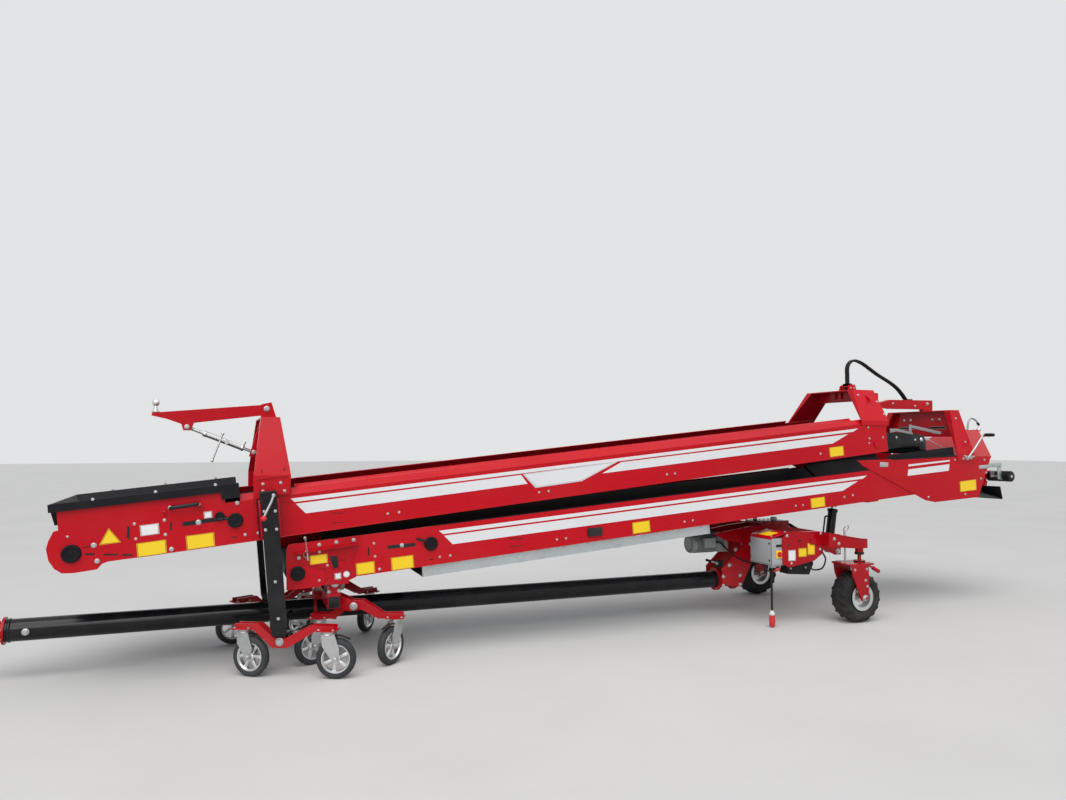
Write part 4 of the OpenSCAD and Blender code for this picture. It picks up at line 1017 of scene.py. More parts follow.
buckle.done("turnbuckle_handle", "spindle_tube")

# %% [markdown]
# The machine stands on eight castors. On the real ones a grey rubber tyre is pressed on a cast
# aluminium wheel with six spokes, and a plated fork carries it under a ball ring. The construction
# only has plain discs, so each disc gives way to a spoked wheel of the same size: turned tyre,
# turned rim, turned hub, and six tapered spokes with a rib along the middle of each.

# %% Castor wheels
CASTORS = [
    (0.185, -0.452, -38), (0.67, -0.714, -20), (0.66, -0.322, 205), (1.14, -0.502, 222),
    (0.185, 0.452, 195), (0.67, 0.714, 160), (0.66, 0.322, 155), (1.14, 0.502, 235),
]
TRAIL = 0.052
CASTOR_R = 0.125
GUM_SECTION = [(-0.019, 0.09), (-0.024, 0.094), (-0.025, 0.104), (-0.0235, 0.114), (-0.017, 0.1215),
               (-0.006, 0.1248), (0.006, 0.1248), (0.017, 0.1215), (0.0235, 0.114), (0.025, 0.104),
               (0.024, 0.094), (0.019, 0.09), (-0.019, 0.09)]
WHEEL_SECTION = [(-0.02, 0.0905), (-0.0225, 0.089), (-0.0225, 0.084), (-0.013, 0.077),
                 (0.013, 0.077), (0.0225, 0.084), (0.0225, 0.089), (0.02, 0.0905), (-0.02, 0.0905)]
HUB_SECTION = [(-0.026, 0.0125), (-0.026, 0.019), (-0.0225, 0.0215), (-0.019, 0.027),
               (0.019, 0.027), (0.0225, 0.0215), (0.026, 0.019), (0.026, 0.0125), (-0.026, 0.0125)]


def at_castor(index):
    x, y, heading = CASTORS[index]
    spot = ON_GROUND @ Matrix.Translation((x, y, 0))
    return spot @ Matrix.Rotation(math.radians(heading), 4, "Z")


def spoke(piece, centre, angle, inner, outer, half_in, half_out, thick):
    """A tapered spoke in the wheel's plane."""
    run = Vector((math.cos(angle), math.sin(angle)))
    side = Vector((-run.y, run.x))
    corners = [run * inner - side * half_in, run * outer - side * half_out,
               run * outer + side * half_out, run * inner + side * half_in]
    piece.plate([(centre[0] + p.x, centre[1] + p.y) for p in corners], -thick, thick, 0.0015)


for index in range(8):
    wheel = Piece(CASTOR_GUM, at_castor(index))
    middle = (TRAIL, 0, CASTOR_R)
    wheel.turned(GUM_SECTION, middle, NEAR, 56)
    wheel.use(ALUMINIUM)
    wheel.turned(WHEEL_SECTION, middle, NEAR, 56)
    wheel.turned(HUB_SECTION, middle, NEAR, 32)
    for k in range(6):
        angle = k * math.pi / 3 + 0.4 * index
        spoke(wheel, (TRAIL, CASTOR_R), angle, 0.022, 0.08, 0.0085, 0.0115, 0.0075)
        spoke(wheel, (TRAIL, CASTOR_R), angle, 0.024, 0.079, 0.003, 0.0035, 0.014)
    wheel_piece = wheel.done(f"castor_wheel_spoked_{index + 1}", f"castor_roll_{index + 1}")
    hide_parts(f"castor_wheel_{index + 1}")

# %% [markdown]
# Each fork gets what a castor fork has: the two lips of the ball ring, the big nut of the swivel,
# axle nuts on both sides, and a brake pedal that bends out over the tyre. They ride with the fork,
# so they swivel.

# %% Castor forks
for index in range(8):
    fork = Piece(PLATED, at_castor(index))
    fork.turned([(0.27, 0.03), (0.27, 0.04), (0.2735, 0.0425), (0.277, 0.04), (0.2805, 0.0388),
                 (0.284, 0.0388), (0.2875, 0.0412), (0.2925, 0.0412), (0.2955, 0.0388),
                 (0.2955, 0.03)], (0, 0, 0), UP, 36)
    fork.bolt(0, 0, 0.2715, 0.0135, DOWN)
    for side in (-1, 1):
        fork.bolt(TRAIL, side * 0.043, CASTOR_R, 0.0125, (0, side, 0), 0.2 + index)
        fork.plate([(-0.03, 0.262), (0.03, 0.262), (0.046, 0.214), (0.04, 0.206), (0.022, 0.25),
                    (-0.022, 0.252)], side * 0.0338, side * 0.0352, 0.0005)
    fork.use(BLACK_PLASTIC_AND_SHADE)
    fork.plate([(0.026, 0.2655), (0.07, 0.269), (0.112, 0.256), (0.14, 0.244), (0.141, 0.2405),
                (0.11, 0.2515), (0.07, 0.2645), (0.026, 0.261)], -0.016, 0.016, 0.0008)
    fork.use(PLATED)
    fork.rod((0.034, -0.03, 0.2625), (0.034, 0.03, 0.2625), 0.0045, 10)
    fork.done(f"castor_fork_fittings_{index + 1}", f"castor_swivel_{index + 1}")

# %% [markdown]
# Rockers share the load between two castors. Each turns on one big bolt, and a castor's plate is
# held by four small ones. The castors of the far side point other ways than the near ones, but its
# rockers are their mirror images, so one function places all bolts by the castors at a rocker's two
# ends.

# %% Rocker bolts
PIVOT_UP = (0.404, 0.224)
PIVOT_LOW = (0.884, 0.382)


def rocker_bolts(name, first, second, pivot, reach, body):
    """The pivot bolt of a rocker and the eight bolts of its castor plates."""
    ax, ay, _ = CASTORS[first]
    bx, by, _ = CASTORS[second]
    heading = math.atan2(by - ay, bx - ax)
    place = ON_GROUND @ Matrix.Translation((ax, ay, 0)) @ Matrix.Rotation(heading, 4, "Z")
    run = math.hypot(bx - ax, by - ay)
    at = (pivot[0] - ax) / (bx - ax) * run
    bolts = Piece(PLATED, place)
    for side in (-1, 1):
        bolts.bolt(at, side * reach, pivot[1], 0.0205, (0, side, 0), 0.5)
        bolts.solid([(0, 0.006), (0.003, 0.0055), (0.004, 0.003)],
                    (at, side * (reach + 0.0175), pivot[1]), (0, side, 0), 12)
    for s in (0, run):
        for dx in (-0.046, 0.046):
            for dy in (-0.043, 0.043):
                bolts.bolt(s + dx, dy, 0.305, 0.008, UP, dx * 40)
                bolts.bolt(s + dx * 0.9, dy, 0.297, 0.007, DOWN, dx * 30)
    bolts.done(name, body)


rocker_bolts("upper_rocker_bolts_near", 0, 1, PIVOT_UP, 0.034, "leg_near")
rocker_bolts("upper_rocker_bolts_far", 4, 5, PIVOT_UP, 0.034, "leg_far")
rocker_bolts("lower_rocker_bolts_near", 2, 3, PIVOT_LOW, 0.0504, "chassis")
rocker_bolts("lower_rocker_bolts_far", 6, 7, PIVOT_LOW, 0.0504, "chassis")

# %% [markdown]
# The cross beam is a square tube closed by ribbed black plugs, with a hinge post near each end. The
# drawbar is a gloss black tube; its cross holes are bushed, and a plated bolt holds the towing head
# inside it.

# %% Cross beam and drawbar
beam = Piece(BLACK_PLASTIC_AND_SHADE)
for grow in (0.0, 0.012, 0.022):
    half = 0.034 - grow
    beam.block((0.732 - half, -0.5125 - grow * 0.08, 0.428 - half),
               (0.732 + half, -0.51, 0.428 + half), 0.0012)
beam.use(PLATED)
beam.bolt(0.741, -0.466, 0.542, 0.02)
beam.bolts([(0.706, 0.486), (0.77, 0.49)], -0.452, 5, 0.0095)
beam.use(RED_DEEP)
weld = [(0.69, -0.4535, 0.4685), (0.712, -0.4545, 0.4695), (0.736, -0.4535, 0.4688),
        (0.76, -0.4545, 0.4695), (0.784, -0.4535, 0.4688)]
beam.tube(weld, 0.0038, 8)
beam.done("cross_beam_fittings", "chassis", both=True)
drawbar = Piece(BLACK)
for side in (-1, 1):
    drawbar.turned([(0.0675, 0.0122), (0.0675, 0.0175), (0.0712, 0.0175), (0.0722, 0.016),
                    (0.0722, 0.0122), (0.0675, 0.0122)], (0.495, 0, 0.3), (0, side, 0), 28)
drawbar.turned([(0, 0.07), (0.004, 0.0738), (0.01, 0.0752), (0.016, 0.0738), (0.02, 0.07)],
               (-1.1935, 0, 0.3), RIGHT, 64)
for x in (0.648, 0.808):
    drawbar.turned([(0, 0.07), (0.001, 0.0735), (0.006, 0.0745), (0.008, 0.07)],
                   (x, 0, 0.3), RIGHT, 64)
drawbar.use(PLATED)
for side in (-1, 1):
    drawbar.bolt(-1.085, side * 0.084, 0.3, 0.017, (0, side, 0))
for angle in (0.5, 1.3, 2.1, 2.9, 3.7, 4.5, 5.3, 6.1):
    drawbar.bolt(-1.219, 0.0775 * math.cos(angle),
                 0.3 + 0.0775 * math.sin(angle), 0.0062, LEFT, angle)
drawbar.use(BLACK_PLASTIC_AND_SHADE)
drawbar.turned(collar(0.0165, 0.02, 0.034, 0), (-1.55, 0, 0.283), UP, 32)
drawbar.done("drawbar_fittings", "chassis")

# %% [markdown]
# The side panels of the chassis carry a main switch cabinet on the near side. Its door is a pressed
# lid with a rubber edge and two locks; the switch is a red knob on a yellow plate, and a black
# socket with a red ring hangs below. Everything is drawn a few millimetres proud of the plain box
# of the construction.

# %% Control cabinet
CAB_LEFT = 4.142
CAB_FACE = 0.6136
cabinet = Piece(CABINET)
cabinet.plate(oblong(-0.606, -0.348, 0.5, 0.695), CAB_LEFT - 0.006, CAB_LEFT + 0.001, 0.003, "x")
cabinet.plate(oblong(4.149, 4.246, 0.498, 0.532), -CAB_FACE - 0.004, -CAB_FACE + 0.001, 0.0015)
cabinet.use(SHEET)
cabinet.plate(oblong(-0.609, -0.345, 0.497, 0.698), CAB_LEFT - 0.0022, CAB_LEFT + 0.001, 0.001, "x")
cabinet.use(BLACK_PLASTIC_AND_SHADE)
for y, z in ((-0.592, 0.53), (-0.592, 0.665)):
    cabinet.solid([(0, 0.0085), (0.003, 0.0085), (0.004, 0.007)],
                  (CAB_LEFT - 0.006, y, z), LEFT, 18)
    cabinet.plate(oblong(y - 0.0012, y + 0.0012, z - 0.006, z + 0.006), CAB_LEFT - 0.0112,
                  CAB_LEFT - 0.0098, 0, "x")
for z in (0.535, 0.66):
    cabinet.rod((CAB_LEFT - 0.004, -0.3475, z - 0.016), (CAB_LEFT - 0.004, -0.3475, z + 0.016),
                0.0055, 12)
cabinet.plate(oblong(4.186, 4.244, 0.634, 0.656), -CAB_FACE - 0.0012, -CAB_FACE, 0.0004)
cabinet.use(YELLOW)
cabinet.plate(oblong(4.185, 4.245, 0.546, 0.608), -CAB_FACE - 0.0035, -CAB_FACE, 0.001)
cabinet.use(PLUG_RED)
cabinet.solid([(0, 0.0215), (0.005, 0.0215), (0.006, 0.02)],
              (4.215, -CAB_FACE - 0.0035, 0.577), NEAR, 28)
cabinet.plate(oblong(4.209, 4.221, 0.558, 0.596), -CAB_FACE - 0.024, -CAB_FACE - 0.009, 0.002)
cabinet.use(PLATED)
for x, z in ((4.152, 0.697), (4.242, 0.697), (4.152, 0.54), (4.155, 0.616)):
    cabinet.solid([(0, 0.0042), (0.0016, 0.0038), (0.0022, 0.002)], (x, -CAB_FACE, z), NEAR, 12)
cabinet.use(SHEET)
cabinet.solid([(0, 0.026), (0.03, 0.026), (0.034, 0.029), (0.044, 0.029), (0.046, 0.027)],
              (4.205, -0.56, 0.492), (0.1, -0.55, -0.83), 28)
cabinet.use(PLUG_RED)
cabinet.solid([(0.047, 0.03), (0.053, 0.03), (0.056, 0.027)], (4.205, -0.56, 0.492),
              (0.1, -0.55, -0.83), 28)
cabinet.use(CABLE)
for y, low in ((-0.52, 0.408), (-0.48, 0.425), (-0.445, 0.4)):
    cabinet.solid([(0, 0.013), (0.012, 0.013), (0.014, 0.01), (0.022, 0.009)],
                  (4.195, y, 0.492), DOWN, 16)
    cabinet.tube([(4.195, y, 0.48), (4.197, y + 0.004, 0.45), (4.215, y + 0.02, low),
                  (4.265, y + 0.06, low - 0.004), (4.315, y + 0.11, 0.47), (4.33, y + 0.15, 0.56),
                  (4.332, y + 0.19, 0.66)], 0.0062, 10)
cabinet.done("cabinet_fittings", "chassis")

# %% Cover above the cabinet
cover = Piece(RED)
cover.plate([(4.138, 0.7055), (4.146, 0.719), (4.3, 0.7515), (4.304, 0.747), (4.15, 0.7045)],
            -0.612, -0.344, 0.0008)
cover.plate([(4.1385, 0.69), (4.1385, 0.706), (4.141, 0.706), (4.141, 0.69)], -0.612, -0.344, 0)
cover.use(YELLOW)
cover.plate([(4.16, 0.7222), (4.252, 0.7416), (4.252, 0.7424), (4.16, 0.723)], -0.56, -0.42, 0)
cover.use(PLATED)
for x, y in ((4.155, -0.596), (4.155, -0.362), (4.29, -0.596), (4.29, -0.362)):
    cover.bolt(x, y, 0.7205 + (x - 4.146) * 0.211, 0.007, (-0.21, 0, 0.98))
cover.done("cabinet_cover", "chassis")

# %% [markdown]
# The motor is a finned three-phase motor, and the red box behind it is its oil tank. The fins are
# one star outline drawn along the shaft, which is far lighter than thirty separate ribs and just as
# true: on a cast motor they are one piece with the frame. The cowl, the end bell and the terminal
# box close it.

# %% Power pack
MOTOR_Z = 0.61


def star(count, low, high, middle):
    """A round outline with ribs, in y and z."""
    outline = []
    for k in range(count):
        for part, radius in ((-0.26, low), (-0.14, high), (0.14, high), (0.26, low)):
            t = 2 * math.pi * (k + part) / count
            outline.append((radius * math.cos(t), middle + radius * math.sin(t)))
    return outline


motor = Piece(MOTOR)
motor.plate(star(30, 0.07, 0.079, MOTOR_Z), 3.806, 3.99, 0, "x")
motor.turned([(0, 0), (0, 0.02), (0.001, 0.066), (0.004, 0.0745), (0.012, 0.077), (0.044, 0.077),
              (0.044, 0.069)], (3.757, 0, MOTOR_Z), RIGHT, 56)
motor.turned([(0, 0.069), (0, 0.078), (0.01, 0.078), (0.03, 0.074), (0.062, 0.0735), (0.064, 0.048),
              (0.064, 0.04)], (3.992, 0, MOTOR_Z), RIGHT, 56)
motor.block((3.85, -0.112, 0.588), (3.95, -0.066, 0.662), 0.004)
motor.block((3.845, -0.118, 0.584), (3.955, -0.111, 0.666), 0.002)
motor.use(SHEET)
for radius in (0.024, 0.034, 0.044, 0.054, 0.063):
    motor.turned([(0, radius - 0.0022), (-0.0008, radius - 0.002), (-0.0008, radius + 0.002),
                  (0, radius + 0.0022)], (3.7585, 0, MOTOR_Z), RIGHT, 40)
motor.solid([(0, 0.012), (0.014, 0.012), (0.016, 0.009), (0.026, 0.008)], (3.95, -0.09, 0.625),
            RIGHT, 16)
motor.tube([(3.972, -0.09, 0.625), (4.01, -0.098, 0.622), (4.06, -0.14, 0.56), (4.11, -0.22, 0.5),
            (4.17, -0.33, 0.47), (4.195, -0.4, 0.484), (4.196, -0.41, 0.492)], 0.007, 10)
motor.use(PLATED)
for x, z in ((3.852, 0.592), (3.948, 0.592), (3.852, 0.658), (3.948, 0.658)):
    motor.solid([(0, 0.004), (0.0018, 0.0034)], (x, -0.118, z), NEAR, 10)
for k in range(4):
    t = math.pi / 4 + k * math.pi / 2
    motor.bolt(3.9915, 0.0705 * math.cos(t), MOTOR_Z + 0.0705 * math.sin(t), 0.0058, LEFT)
motor.turned([(0, 0.004), (0, 0.015), (0.005, 0.0165), (0.01, 0.015), (0.01, 0.004)],
             (3.9, 0, 0.6905), UP, 20)
motor.done("motor_fittings", "chassis")
tank = Piece(RED_DEEP)
tank.block((4.42, -0.1145, 0.779), (4.728, 0.1145, 0.7835), 0.0015)
for x in (4.48, 4.56, 4.64):
    tank.block((x, -0.1135, 0.7), (x + 0.014, -0.1085, 0.776), 0.002)
tank.use(PLATED)
for k in range(7):
    for y in (-0.1035, 0.1035):
        tank.bolt(4.435 + 0.0465 * k, y, 0.7835, 0.0058, UP, k)
tank.bolt(4.7, -0.11, 0.704, 0.01)
tank.solid([(0, 0.018), (0.003, 0.02), (0.018, 0.02), (0.022, 0.017), (0.03, 0.011)],
           (4.48, 0.045, 0.7835), UP, 24)
tank.use(PLASTIC_WHITE)
cap_rim = []
for k in range(24):
    t = 2 * math.pi * k / 24
    for part, radius in ((-0.25, 0.0262), (0.25, 0.0282)):
        cap_rim.append((4.6 + radius * math.cos(t + part * 2 * math.pi / 24),
                        -0.06 + radius * math.sin(t + part * 2 * math.pi / 24)))
tank.plate(cap_rim, 0.786, 0.8125, 0.0006, "z")
tank.solid([(0.0265, 0.0262), (0.03, 0.0235), (0.03, 0.012), (0.032, 0.01)],
           (4.6, -0.06, 0.786), UP, 28)
tank.use(CABLE)
for y, rise in ((0.06, 0.052), (0.02, 0.068)):
    tank.tube([(4.715, y, 0.72), (4.76, y, 0.735), (4.83, y, 0.72 + rise * 0.3), (4.9, y, 0.705),
               (5.0, y * 0.8, 0.66), (5.1, y * 0.6, 0.61)], 0.0085, 10)
tank.done("oil_tank_fittings", "chassis")

# %% [markdown]
# The chassis' side panels are thick plates with a bolted top flange. A few bolts, two holes and
# three blank film signs are all that the near one shows, besides a dark open box under the cross
# beam. The plates that clamp the drawbar carry the heads of the through bolts.

# %% Chassis panels and clamps
SIDE_FACE = 0.62
panels = Piece(PLATED, ON_GROUND, SIDE_FACE)
panels.bolts([(4.288, 0.722, 0.01), (4.632, 0.728, 0.01), (4.62, 0.6, 0.009), (4.33, 0.5, 0.008)],
             0, 1)
# The two holes are black fields of painted shade with a painted edge, not cut.
painted_shade_slots(panels, [((4.3, 0.647), (4.306, 0.647), 0.016), ((4.412, 0.676), (4.42, 0.676), 0.018)])
panels.use(RED_DEEP)
panels.tube([(4.312, 0.002, 0.7505), (4.4, 0.002, 0.747), (4.5, 0.002, 0.744),
             (4.636, 0.002, 0.7385)], 0.0042, 8)
panels.done("side_panel_fittings", "chassis", both=True)
signs("chassis_signs", "chassis", ON_GROUND, SIDE_FACE, [
    (oblong(4.3, 4.372, 0.52, 0.606), WHITE_FILM),
    (oblong(4.402, 4.482, 0.548, 0.616), YELLOW),
    (oblong(4.494, 4.566, 0.56, 0.652), YELLOW),
], both=False)
clamps = Piece(PLATED)
clamps.bolts([(4.022, 0.338), (4.022, 0.262), (4.192, 0.338), (4.192, 0.262)], -0.122, 3, 0.012)
clamps.bolts([(4.085, 0.43), (4.15, 0.56), (4.3, 0.6), (4.7, 0.655), (5.08, 0.59),
              (5.255, 0.49, 0.02)], -0.122, 4, 0.013)
clamps.done("drawbar_clamp_bolts", "chassis", both=True)
handle = Piece(PLATED)
handle.tube([(3.955, -0.126, 0.452), (3.94, -0.15, 0.458), (3.9, -0.176, 0.47),
             (3.85, -0.186, 0.486)], 0.006, 10)
handle.bolt(3.9575, -0.1225, 0.452, 0.01)
handle.use(SHEET)
handle.solid([(0, 0.008), (0.003, 0.01), (0.05, 0.011), (0.054, 0.008)], (3.856, -0.185, 0.484),
             (-0.95, -0.14, 0.28), 16)
handle.plate(oblong(3.94, 4.015, 0.42, 0.48), -0.1225, -0.11, 0.002)
handle.done("valve_handle", "chassis")
under_box = Piece(BLACK_PLASTIC_AND_SHADE)
under_box.block((4.392, -0.5235, 0.414), (4.56, -0.519, 0.47), 0.002)
under_box.use(PLATED)
for x in (4.4, 4.552):
    under_box.bolt(x, -0.5235, 0.442, 0.0065)
under_box.use(CABLE)
under_box.tube([(4.6, -0.5, 0.44), (4.65, -0.515, 0.415), (4.72, -0.53, 0.43), (4.745, -0.54, 0.5),
                (4.7, -0.56, 0.56), (4.66, -0.575, 0.61)], 0.0065, 10)
under_box.done("under_box_fittings", "chassis")

# %% [markdown]
# The pneumatic wheels are small lugged tractor tyres. The construction's tyre is plain with block
# lugs. The dressed one has a turned carcass with a bead, two rings in the side wall, and lugs that
# sweep back from the middle and run down the shoulder, each a wedge with eased edges.

# %% Tyres
TYRE_R = 0.208
TYRE_HALF = 0.083
WHEEL_X = 4.94
KINGPIN_X = 4.99
TRACK = 0.663
CARCASS = [(-0.059, 0.0935), (-0.072, 0.1195), (-0.0775, 0.124), (-0.08, 0.13), (-0.0785, 0.134),
           (-0.0815, 0.142), (-0.083, 0.156), (-0.0815, 0.17), (-0.074, 0.184), (-0.056, 0.194),
           (-0.03, 0.1985), (0, 0.1995)]


def lug(piece, angle, side, sweep, stations):
    """One lug as a chain of wedges that sweep round the tyre on one side of its middle.
    A station is (distance from the middle, inner radius, outer radius, half width)."""
    def ends(y, radius, half):
        middle = angle + sweep * y / TYRE_HALF
        return [(radius * math.cos(t), side * y, radius * math.sin(t))
                for t in (middle - half / radius, middle + half / radius)]
    for (y0, in0, out0, w0), (y1, in1, out1, w1) in zip(stations, stations[1:]):
        foot = ends(y0, in0, w0) + ends(y1, in1, w1)[::-1]
        crown = ends(y0, out0, w0 * 0.8) + ends(y1, out1, w1 * 0.8)[::-1]
        piece.prism(foot, crown, 0.002, segments=1)


LUGS = 18
LUG_SWEEP = 0.22
LUG_STATIONS = [(0.003, 0.196, 0.2072, 0.01), (0.04, 0.194, 0.2062, 0.011),
                (0.066, 0.184, 0.2, 0.0125), (0.081, 0.16, 0.176, 0.013)]
for label, side in (("near", -1), ("far", 1)):
    tyre = Piece(TYRE, ON_GROUND @ Matrix.Translation((WHEEL_X, side * TRACK, TYRE_R)))
    tyre.turned(CARCASS + [(-y, r) for y, r in CARCASS[-2::-1]] + [CARCASS[0]], (0, 0, 0), NEAR, 96)
    for k in range(LUGS):
        for half, shift in ((-1, 0.0), (1, 0.5)):
            lug(tyre, 2 * math.pi * (k + shift) / LUGS, half, LUG_SWEEP, LUG_STATIONS)
    for radius, out in ((0.129, 0.0785), (0.1465, 0.0812)):
        ring = [(0, radius - 0.0018), (0.0016, radius - 0.0008), (0.0016, radius + 0.0008),
                (0, radius + 0.0018)]
        for face in (-1, 1):
            tyre.turned(ring, (0, face * out, 0), (0, face, 0), 96)
    tyre_piece = tyre.done(f"lugged_tyre_{label}", f"wheel_{label}")
    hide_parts(f"tyre_{label}")

# %% [markdown]
# Rims keep the construction's shape. They get wheel nuts, a hub cap, a rolled edge and a valve, all
# riding with the wheel; the fork gets its axle nuts, the grip of its ratchet lever and the heads of
# its bolts.

# %% Rims, forks and locking pins
DISC = {-1: -0.0135, 1: 0.005}
FORK_FACE = TYRE_HALF + 0.024
LEVER_DROP = math.radians(28)
for label, side in (("near", -1), ("far", 1)):
    rim = Piece(PLATED, ON_GROUND @ Matrix.Translation((WHEEL_X, side * TRACK, TYRE_R)))
    for k in range(5):
        t = 2 * math.pi * k / 5 + 0.3
        for face, depth in ((-1, 0.0096), (1, 0.0012)):
            rim.bolt(0.056 * math.cos(t),
                     face * depth, 0.056 * math.sin(t), 0.0088, (0, face, 0), k)
    rim.use(RIM_SILVER)
    for face in (-1, 1):
        rim.turned([(0, 0.02), (0, 0.033), (0.003, 0.0338), (0.008, 0.033), (0.01, 0.029),
                    (0.01, 0.02)], (0, face * 0.052, 0), (0, face, 0), 36)
        rim.turned([(0, 0.1035), (0.0012, 0.1075), (0.004, 0.1088), (0.0052, 0.106),
                    (0.004, 0.103)], (0, face * 0.079, 0), (0, face, 0), 72)
        rim.turned([(0, 0.074), (0.003, 0.0765), (0.003, 0.08), (0, 0.0825)], (0, DISC[face], 0),
                   (0, face, 0), 48)
    rim.use(CABLE)
    rim.rod((0.083, side * 0.02, 0.02), (0.0885, side * 0.052, 0.0215), 0.0042, 12)
    rim.done(f"rim_fittings_{label}", f"wheel_{label}")
    fork = Piece(PLATED, ON_GROUND @ Matrix.Translation((0, side * TRACK, 0)))
    for face in (-1, 1):
        fork.bolt(WHEEL_X, face * FORK_FACE, TYRE_R, 0.0205, (0, face, 0))
        for x, z in ((4.966, 0.3), (4.95, 0.35), (4.84, 0.44), (4.965, 0.44)):
            fork.bolt(x, face * FORK_FACE, z, 0.009, (0, face, 0), x * 9)
    for x, y in ((4.83, -0.08), (4.83, 0.08), (5.02, -0.08), (5.02, 0.08)):
        fork.bolt(x, y, 0.485, 0.0095, UP, x * 6)
    fork.bolt(KINGPIN_X, 0, 0.638, 0.0215, UP)
    fork.turned(collar(0.0152, 0.026, 0.0025, 0), (KINGPIN_X, 0, 0.606), UP, 32)
    fork.use(SHEET)
    fork.turned(collar(0.044, 0.0462, 0.012, 0.003), (KINGPIN_X, 0, 0.486), UP, 40)
    fork.use(RED)
    lever_run = Vector((math.cos(LEVER_DROP), 0, -math.sin(LEVER_DROP)))
    lever_at = Vector((KINGPIN_X + 0.04, 0, 0.48))
    fork.solid([(0, 0.013), (0.003, 0.0165), (0.07, 0.0175), (0.078, 0.014)],
               lever_at + lever_run * 0.112, lever_run, 20)
    fork.done(f"fork_fittings_{label}", f"fork_{label}")
arms = Piece(PLATED)
arms.rod((4.84, -TRACK, 0.49), (4.84, -TRACK, 0.742), 0.0085, 16)
arms.turned(collar(0.0085, 0.0175, 0.003, 0), (4.84, -TRACK, 0.7065), UP, 24)
arms.tube([(4.84, -TRACK, 0.736), (4.822, -TRACK - 0.01, 0.76), (4.826, -TRACK - 0.028, 0.785),
           (4.85, -TRACK - 0.03, 0.79), (4.866, -TRACK - 0.014, 0.768), (4.848, -TRACK, 0.738)],
          0.0036, 8)
arms.bolts([(4.69, 0.69), (4.735, 0.65)], -0.708, 2, 0.011)
arms.use(BLACK_PLASTIC_AND_SHADE)
arms.turned(collar(0.0335, 0.0375, 0.02, 0.002), (KINGPIN_X, -TRACK, 0.547), UP, 36)
arms.use(RED_DEEP)
arms.tube([(4.64, -0.7085, 0.7375), (4.76, -0.7085, 0.7155), (4.9, -0.7085, 0.6885),
           (5.036, -0.7085, 0.6725)], 0.0034, 8)
arms.done("axle_arm_fittings", "chassis", both=True)

# %% [markdown]
# Behind the upper conveyor's last drum sits its belt cleaner: two arms bolted inside the side
# panels, a smooth steel roller, and a rubber blade that hangs under it. Dull steel strips brace the
# arms, and a thin feeler rod reaches out over the lower hopper. All of it rides with the upper
# conveyor.

# %% Belt cleaner and hose bracket
cleaner = Piece(BLACK)
ARM = [(5.425, 1.528), (5.52, 1.56), (5.8, 1.566), (5.962, 1.54), (5.99, 1.49), (5.985, 1.366),
       (5.94, 1.362), (5.9, 1.446), (5.72, 1.44), (5.53, 1.412), (5.48, 1.396), (5.455, 1.44)]
cleaner.plate(ARM, -0.456, -0.448, 0.0015)
cleaner.block((5.47, -0.4752, 1.505), (5.505, -0.455, 1.545), 0.002)
cleaner.block((5.47, -0.4752, 1.41), (5.505, -0.455, 1.44), 0.002)
cleaner.use(PLATED)
cleaner.bolts([(5.488, 1.525), (5.492, 1.424), (5.64, 1.52), (5.86, 1.5)], -0.456, 6, 0.0085)
cleaner.solid([(0, 0.018), (0.003, 0.019), (0.006, 0.0165), (0.01, 0.012)],
              (5.933, -0.456, 1.502), NEAR, 24)
cleaner.use(DRUM_STEEL)
cleaner.plate([(5.56, 1.598), (5.647, 1.598), (5.823, 1.566), (5.823, 1.544), (5.64, 1.574),
               (5.56, 1.56)], -0.464, -0.46, 0.0008)
cleaner.plate([(5.8, 1.636), (5.846, 1.63), (6.18, 1.574), (6.187, 1.554), (6.15, 1.552),
               (5.8, 1.612)], -0.447, -0.443, 0.0008)
cleaner.plate(oblong(5.8, 5.83, 1.53, 1.636), -0.448, -0.443, 0.0008)
cleaner.done("belt_cleaner_arms", "upper_conveyor", both=True)
blade = Piece(DRUM_STEEL)
blade.rod((5.933, -0.449, 1.502), (5.933, 0.449, 1.502), 0.031, 28)
blade.use(BLACK)
blade.rod((5.64, -0.449, 1.52), (5.64, 0.449, 1.52), 0.016, 16)
blade.plate(oblong(5.966, 5.984, 1.47, 1.42), -0.4485, 0.4485, 0.0015)
blade.use(SHEET)
blade.plate([(5.972, 1.436), (5.979, 1.436), (5.974, 1.372), (5.966, 1.372)], -0.43, 0.43, 0.0012)
blade.use(PLATED)
for k in range(6):
    blade.bolt(5.966, -0.375 + 0.15 * k, 1.446, 0.0065, LEFT, k)
blade.done("belt_cleaner_roller", "upper_conveyor")
feeler = Piece(PLATED)
feeler.block((5.985, -0.448, 1.494), (6.04, -0.44, 1.52), 0.0015)
feeler.rod((6.034, -0.443, 1.503), (6.262, -0.443, 1.403), 0.0042, 10)
feeler.use(SHEET)
feeler.turned([(-0.014, 0), (-0.014, 0.0045), (-0.01, 0.0085), (0.004, 0.0095), (0.012, 0.007),
               (0.014, 0)], (6.262, -0.443, 1.403), (0.916, 0, -0.402), 16)
feeler.done("feeler_rod", "upper_conveyor")
holder = Piece(RED)
holder.plate([(5.462, 1.905), (5.47, 1.95), (5.486, 2.006), (5.5, 2.018), (5.545, 2.018),
              (5.558, 2.006), (5.572, 1.95), (5.576, 1.905)], -0.064, -0.06, 0.0008)
holder.plate([(5.478, 1.949), (5.564, 1.949), (5.556, 2.012), (5.486, 2.012)],
             -0.06, -0.046, 0.0012)
holder.use(SHEET)
holder.block((5.498, -0.0395, 2.0), (5.542, 0.0395, 2.03), 0.004)
holder.use(PLATED)
holder.bolts([(5.484, 1.922), (5.55, 1.922), (5.5, 1.985), (5.542, 1.985)], -0.064, 8, 0.0068)
holder.done("hose_bracket", "upper_conveyor", both=True)


